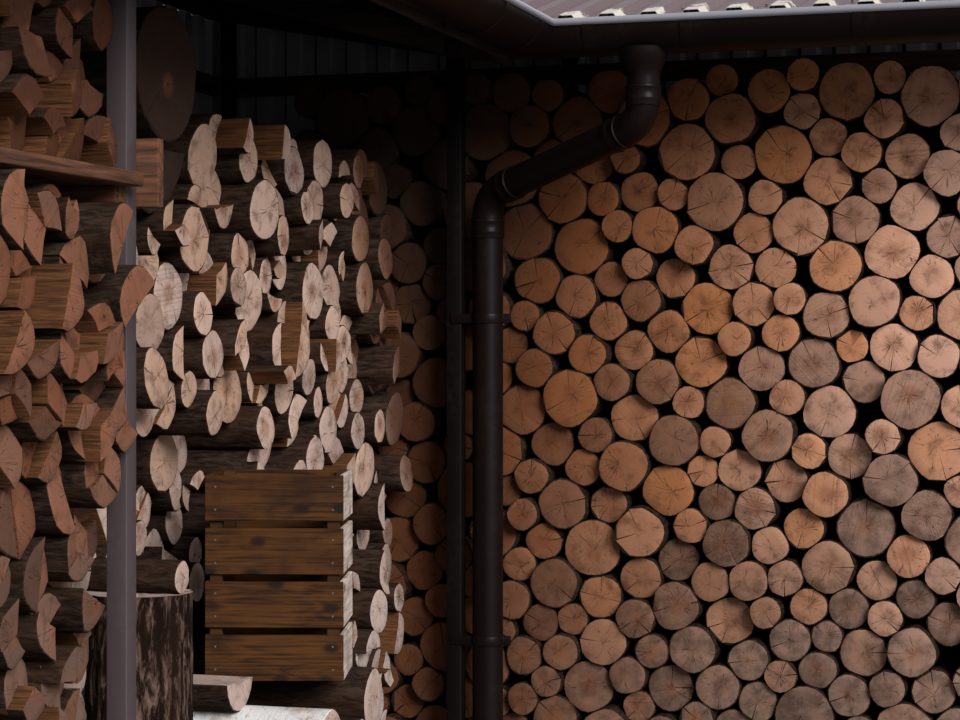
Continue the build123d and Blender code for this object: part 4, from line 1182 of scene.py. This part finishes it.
# Left-wing bark, likewise kept darker than its own brown as painted shade on the sides.
left_bark = barked("left_bark", bark_dark, (0.055, 0.034, 0.024), (0.034, 0.014, 0.007), 60.0, 14.0, 0.004)
slab_circle = circle_through(min(laid_wood("big_rounds", "left"), key=lambda wood: wood[0][:, 1].min())[0])
left_finishes = [left_end, left_bark, cleft_wood, birch]
restack("left_logs", "left_stack", "left", 5, left_finishes, left_finish, (slab_circle,), 0.05)
round_bark = barked("round_bark", round_furrow, round_ridge, (0.018, 0.010, 0.007), 34.0, 9.0, 0.007)
grey_end = end_grain("grey_round_end", *grey_tones, 0.6)
restack("grey_rounds", "big_rounds", "left", 8, [grey_end, round_bark, cleft_wood])
restack("loose_logs", "loose_wood", "left", 9, [left_end, left_bark, left_end])

# Rack and shelf: logs cleft in two or three, stacked with their split faces to the yard. The wood is
# pinkish where it is sawn and orange-brown where it is torn, and it stands out past the post.
# The rack's and shelf's sawn ends are coloured darker as painted shade, the shelf's darkest.
rack_shaded_tones = (0.145, 0.047, 0.020), (0.20, 0.083, 0.048), (0.29, 0.148, 0.102), (0.14, 0.09, 0.07)
shelf_shaded_tones = (0.058, 0.017, 0.007), (0.085, 0.031, 0.016), (0.12, 0.052, 0.031), (0.06, 0.034, 0.025)
for name, tones, seed in (("rack", rack_shaded_tones, 6), ("shelf", shelf_shaded_tones, 7)):
    finishes = [end_grain(name + "_end_grain", *tones, 0.8), left_bark, cleft_wood]
    restack(name + "_logs", name + "_stack", "left", seed, finishes, lean=0.08)

# Crate: sawn softwood slats nailed to corner stiles, amber and knotty in front. The slats at its
# right-hand end are pale as painted light on the side the sun falls on. It stands on end on the ledge of logs.
crate_at, crate_turned = (-0.030, -1.130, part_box("crate")[0][2]), math.radians(16)
crate_size = (0.290, 0.250, 0.430)
board, slat, rows, stile, stile_gap = 0.009, 0.096, 4, 0.026, 0.003
nail_width, nail_height, nail_lifts = 0.0045, 0.0007, (0.024, 0.072)
amber_tones = (0.011, 0.0034, 0.0010), (0.074, 0.026, 0.0045), (0.008, 0.004, 0.002)
# Pale tones for the right-hand end's slats: painted light.
painted_light_end_tones = (0.26, 0.19, 0.155), (0.62, 0.52, 0.46), (0.10, 0.06, 0.045)


def crate_wood(name, dark, light, knot_brown):
    """Softwood board: fibres along each board, knots with dark rims, dirt in patches."""
    made, tree, shader = new_material(name)
    along, across, seed = grain_place(tree)
    row = tree.nodes.new("ShaderNodeAttribute")
    row.attribute_name = "row"
    mark = maths(tree, "MULTIPLY", maths(tree, "ADD", seed, row.outputs["Fac"]), 50.0)
    places = []
    for lengthwise, crosswise in ((3.0, 190.0), (4.0, 22.0), (9.0, 15.0)):
        x, y = maths(tree, "MULTIPLY_ADD", along, lengthwise, mark), maths(tree, "MULTIPLY", across, crosswise)
        places.append(xyz(tree, X=x, Y=y, Z=mark))
    fibre = maths(tree, "MULTIPLY", noise(tree, places[0], 1.5, 4, 0.6, 0.3), 0.5)
    fibre = maths(tree, "MULTIPLY_ADD", noise(tree, places[1], 1.5, 5, 0.6, 1.2), 0.5, fibre)
    spots = tree.nodes.new("ShaderNodeTexVoronoi")
    spots.voronoi_dimensions = "2D"
    spots.inputs["Scale"].default_value = 1.0
    tree.links.new(places[2], spots.inputs["Vector"])
    wanted = add_node(tree, "ShaderNodeSeparateColor", Color=spots.outputs["Color"]).outputs[0]
    knot = stepped(tree, spots.outputs["Distance"], 0.08, 0.22, 1.0, 0.0)
    knot = maths(tree, "MULTIPLY", knot, stepped(tree, wanted, 0.5, 0.55))
    colour = blended(tree, stepped(tree, fibre, 0.36, 0.60), dark, light)
    colour = blended(tree, maths(tree, "MULTIPLY", knot, 0.9), colour, knot_brown)
    grime = stepped(tree, noise(tree, object_place(tree), 7.0, 4), 0.42, 0.75, 0.0, 0.7)
    colour = blended(tree, grime, colour, dark)
    coated(tree, shader, colour, 0.7, fibre, 0.25, 0.001)
    return made


def add_board(pile, corner, opposite, along, seed, edge=0.0012):
    """A board between two corners with eased edges; along is the axis of its grain."""
    low, high = np.minimum(corner, opposite).astype(float), np.maximum(corner, opposite).astype(float)
    points = []
    a, b = (axis for axis in range(3) if axis != along)
    for place, inset in ((low[along], edge), (low[along] + edge, 0), (high[along] - edge, 0), (high[along], edge)):
        for sa, sb, da, db in (
            (low, low, edge, 0), (low, low, 0, edge), (low, high, 0, -edge), (low, high, edge, 0),
            (high, high, -edge, 0), (high, high, 0, -edge), (high, low, 0, edge), (high, low, -edge, 0),
        ):
            point = np.zeros(3)
            point[along] = place
            point[a] = sa[a] + da + (inset if sa is low else -inset)
            point[b] = sb[b] + db + (inset if sb is low else -inset)
            points.append(point)
    faces = ring_faces(4, 8, closed=False) + [tuple(range(8))[::-1], tuple(range(24, 32))]
    wide = a if high[a] - low[a] > high[b] - low[b] else b
    grain = [(points[v][along], points[v][wide], seed) for face in faces for v in face]
    pile.add(points, faces, 0, grain)


def slat_tree():
    """Geometry Nodes: one round of slats repeated up the crate, each marked for grain of its own."""
    sockets = [
        ("Slats", "Geometry", None),
        ("Rows", "Int", 4),
        ("Rise", "Float", 0.1),
        ("Grain Seed", "Int", 5),
        ("Finish", "Material", None),
    ]
    tree, given, result = effect_group("slat_rounds", sockets, [("Rounds", "Geometry")], "GeometryNodeTree")
    line = add_node(tree, "GeometryNodeMeshLine", Count=given["Rows"], Offset=xyz(tree, Z=given["Rise"])).outputs[0]
    rounds = add_node(tree, "GeometryNodeInstanceOnPoints", Points=line, Instance=given["Slats"])
    chance = tree.nodes.new("FunctionNodeRandomValue")
    chance.data_type = "FLOAT"
    tree.links.new(given["Grain Seed"], chance.inputs["Seed"])
    marked = tree.nodes.new("GeometryNodeStoreNamedAttribute")
    marked.data_type, marked.domain = "FLOAT", "INSTANCE"
    marked.inputs["Name"].default_value = "row"
    tree.links.new(rounds.outputs["Instances"], marked.inputs["Geometry"])
    tree.links.new(next(s for s in chance.outputs if s.enabled), marked.inputs["Value"])
    realized(tree, marked.outputs["Geometry"], given["Finish"], result)
    return tree


amber = crate_wood("amber_slats", *amber_tones)
pale = crate_wood("end_slats_painted_light", *painted_light_end_tones)
chance = random.Random(12)
hx, hy, hz = crate_size[0] / 2, crate_size[1] / 2, crate_size[2]
rise = (hz - slat) / (rows - 1)
cosine, sine = math.cos(crate_turned), math.sin(crate_turned)
crate_axes = np.array(((cosine, sine, 0), (-sine, cosine, 0), (0, 0, 1)))


def on_ledge(points):
    """Points of the crate, turned and set down on the ledge."""
    return np.asarray(points) @ crate_axes + np.array(crate_at)


front_round, end_round, frame_boards = Pile(), Pile(), Pile()
for side in (-1, 1):
    add_board(front_round, (-hx, side * hy, 0), (hx, side * (hy - board), slat), 0, chance.random())
    ends = end_round if side > 0 else front_round
    add_board(ends, (side * hx, -hy + board, 0), (side * (hx - board), hy - board, slat), 1, chance.random())
    for y_side in (-1, 1):
        x, y = side * (hx - board), y_side * (hy - board)
        opposite = (x - side * stile, y - y_side * stile, hz - stile_gap)
        add_board(frame_boards, (x, y, board), opposite, 2, chance.random())
add_board(frame_boards, (-hx + board, -hy + board, 0.0), (hx - board, hy - board, board), 0, chance.random())
slat_rounds = slat_tree()
for name, pile, finish in (("crate_slats", front_round, amber), ("crate_end_slats", end_round, pale)):
    pile.points = [on_ledge(points) for points in pile.points]
    settings = {"Rows": rows, "Rise": rise, "Grain Seed": 5, "Finish": finish}
    slats = grown(name, pile.mesh(name, [finish]), slat_rounds, settings)
    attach(slats, "root")
    if finish == amber:
        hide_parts("crate")
frame_boards.points = [on_ledge(points) for points in frame_boards.points]
crate_frame = frame_boards.build("crate_frame", [amber])
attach(crate_frame, "root")
nail_places, nail_outs = [], []
for row in range(rows):
    for lift in nail_lifts:
        for side in (-1, 1):
            for y_side in (-1, 1):
                nail_places.append((side * (hx - board - stile / 2), y_side * hy, row * rise + lift))
                nail_outs.append((0, y_side, 0))
nail_steel = painted_steel("nail_steel", (0.09, 0.065, 0.05), (0.20, 0.10, 0.05), dust_tan, 0.5)
add_fixings(
    "crate_nails",
    on_ledge(nail_places),
    np.array(nail_outs) @ crate_axes,
    nail_steel,
    "crate_wood",
    head_width=nail_width,
    head_height=nail_height,
    washer_width=0.001,
    washer_height=0.0002,
    sides=10,
)

# Chopping block: a length of trunk stood on end, deep furrowed bark, its sawn top cut about by the axe.
block_at, block_radius, block_height = (-0.160, -1.550), 0.110, 0.790
furrow_mean, furrow_deep, bark_rough, block_seed = 0.0045, 0.0025, 0.0015, 0.37
top_inset, top_sunk, axe_dent = 0.006, 0.001, 0.0012
trunk_furrow, trunk_ridge, trunk_tint = (0.007, 0.0035, 0.002), (0.17, 0.105, 0.082), (0.022, 0.010, 0.006)
trunk_bark = barked("trunk_bark", trunk_furrow, trunk_ridge, trunk_tint, 38.0, 9.0, 0.008, 0.46, 0.68)


def block_ring(radius, level):
    """A ring of the block's points at this radius and height, one or many."""
    level = np.broadcast_to(level, len(spin))
    return np.column_stack([block_at[0] + radius * np.cos(spin), block_at[1] + radius * np.sin(spin), level])


chance = random.Random(31)
turns, tiers = 72, 44
spin = np.linspace(0, math.tau, turns, endpoint=False)
ridges = []
for _ in range(7):
    ridge = (chance.randint(7, 19), chance.uniform(0, math.tau), chance.uniform(-6, 6), chance.uniform(0.5, 1))
    ridges.append(ridge)
rings = []
for tier in range(tiers):
    z = block_height * tier / (tiers - 1)
    furrow = sum(w * np.cos(k * spin + start + twist * z) for k, start, twist, w in ridges)
    rough = bark_rough * np.array([chance.random() for _ in range(turns)])
    rings.append(block_ring(block_radius - furrow_mean + furrow_deep * np.tanh(furrow) - rough, z))
for share in (0.9, 0.6, 0.3):
    dents = np.array([chance.gauss(0, axe_dent) for _ in range(turns)])
    top = np.minimum(block_height - top_sunk + dents, block_height)
    rings.append(block_ring((block_radius - top_inset) * share, top))
points = np.vstack(rings + [[[*block_at, block_height - top_sunk]], [[*block_at, 0.0]]])
faces = ring_faces(len(rings), turns, closed=False)
centre, under, last = len(points) - 2, len(points) - 1, (len(rings) - 1) * turns
faces += [(last + k, last + (k + 1) % turns, centre) for k in range(turns)]
faces += [((k + 1) % turns, k, under) for k in range(turns)]
grain, finish = [], []
for face in faces:
    on_side = max(face) < tiers * turns
    finish.append(1 if on_side else 0)
    around = [(v % turns) / turns for v in face]
    over_seam = max(around) - min(around) > 0.5
    for v, share in zip(face, around):
        if on_side:
            share += 1 if over_seam and share < 0.5 else 0
            grain.append((share * math.tau * block_radius, points[v, 2], block_seed))
        else:
            grain.append((points[v, 0] - block_at[0], points[v, 1] - block_at[1], block_seed))
pile = Pile()
pile.add(points, faces, finish, grain)
block = pile.build("chopping_block_bark", [left_end, trunk_bark], smooth=50)
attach(block, "root")
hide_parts("chopping_block")

# Floor, light: a pale floor and plain soft daylight, a little stronger from the front on the right.
floor_pale, floor_speckle, floor_lit = (0.60, 0.59, 0.57), (0.45, 0.44, 0.43), (0.20, 0.19, 0.18)
floor_half, sky_colour = 14.0, (0.93, 0.96, 1.0, 1)
sky_light, sky_shown, sun_strength = 0.50, 0.92, 4.1
sun_width, sun_turned = math.radians(30), (math.radians(64), 0, math.radians(48))
floor_mesh = bpy.data.meshes.new("floor")
corners = [(x * floor_half, y * floor_half, 0) for x, y in ((-1, -1), (1, -1), (1, 1), (-1, 1))]
floor_mesh.from_pydata(corners, [], [(0, 1, 2, 3)])
floor = shown("floor", floor_mesh)
floor_material, floor_tree, floor_shader = new_material("floor_pale", 0.3)
speckle = stepped(floor_tree, noise(floor_tree, object_place(floor_tree), 3.0, 5), 0.3, 0.7, 0.0, 0.12)
floor_colour = blended(floor_tree, speckle, floor_pale, floor_speckle)
floor_seen = floor_tree.nodes.new("ShaderNodeLightPath").outputs["Is Camera Ray"]
floor_colour = blended(floor_tree, floor_seen, floor_lit, floor_colour)
floor_tree.links.new(floor_colour, floor_shader.inputs["Base Color"])
floor_shader.inputs["Roughness"].default_value = 0.9
floor_mesh.materials.append(floor_material)

world = bpy.data.worlds.new("studio")
world.use_nodes = True
bpy.context.scene.world = world
sky_tree = world.node_tree
sky = sky_tree.nodes["Background"]
sky.inputs["Color"].default_value = sky_colour
rays = sky_tree.nodes.new("ShaderNodeLightPath").outputs
mirrored = maths(sky_tree, "MAXIMUM", rays["Is Glossy Ray"], rays["Is Transmission Ray"])
seen = maths(sky_tree, "MAXIMUM", rays["Is Camera Ray"], mirrored)
strength = maths(sky_tree, "MULTIPLY_ADD", seen, sky_shown - sky_light, sky_light)
sky_tree.links.new(strength, sky.inputs["Strength"])
key = bpy.data.objects.new("key", bpy.data.lights.new("key", "SUN"))
key.data.energy = sun_strength
key.data.angle = sun_width
key.rotation_euler = sun_turned
bpy.context.collection.objects.link(key)
bpy.context.scene.view_settings.view_transform = "Standard"
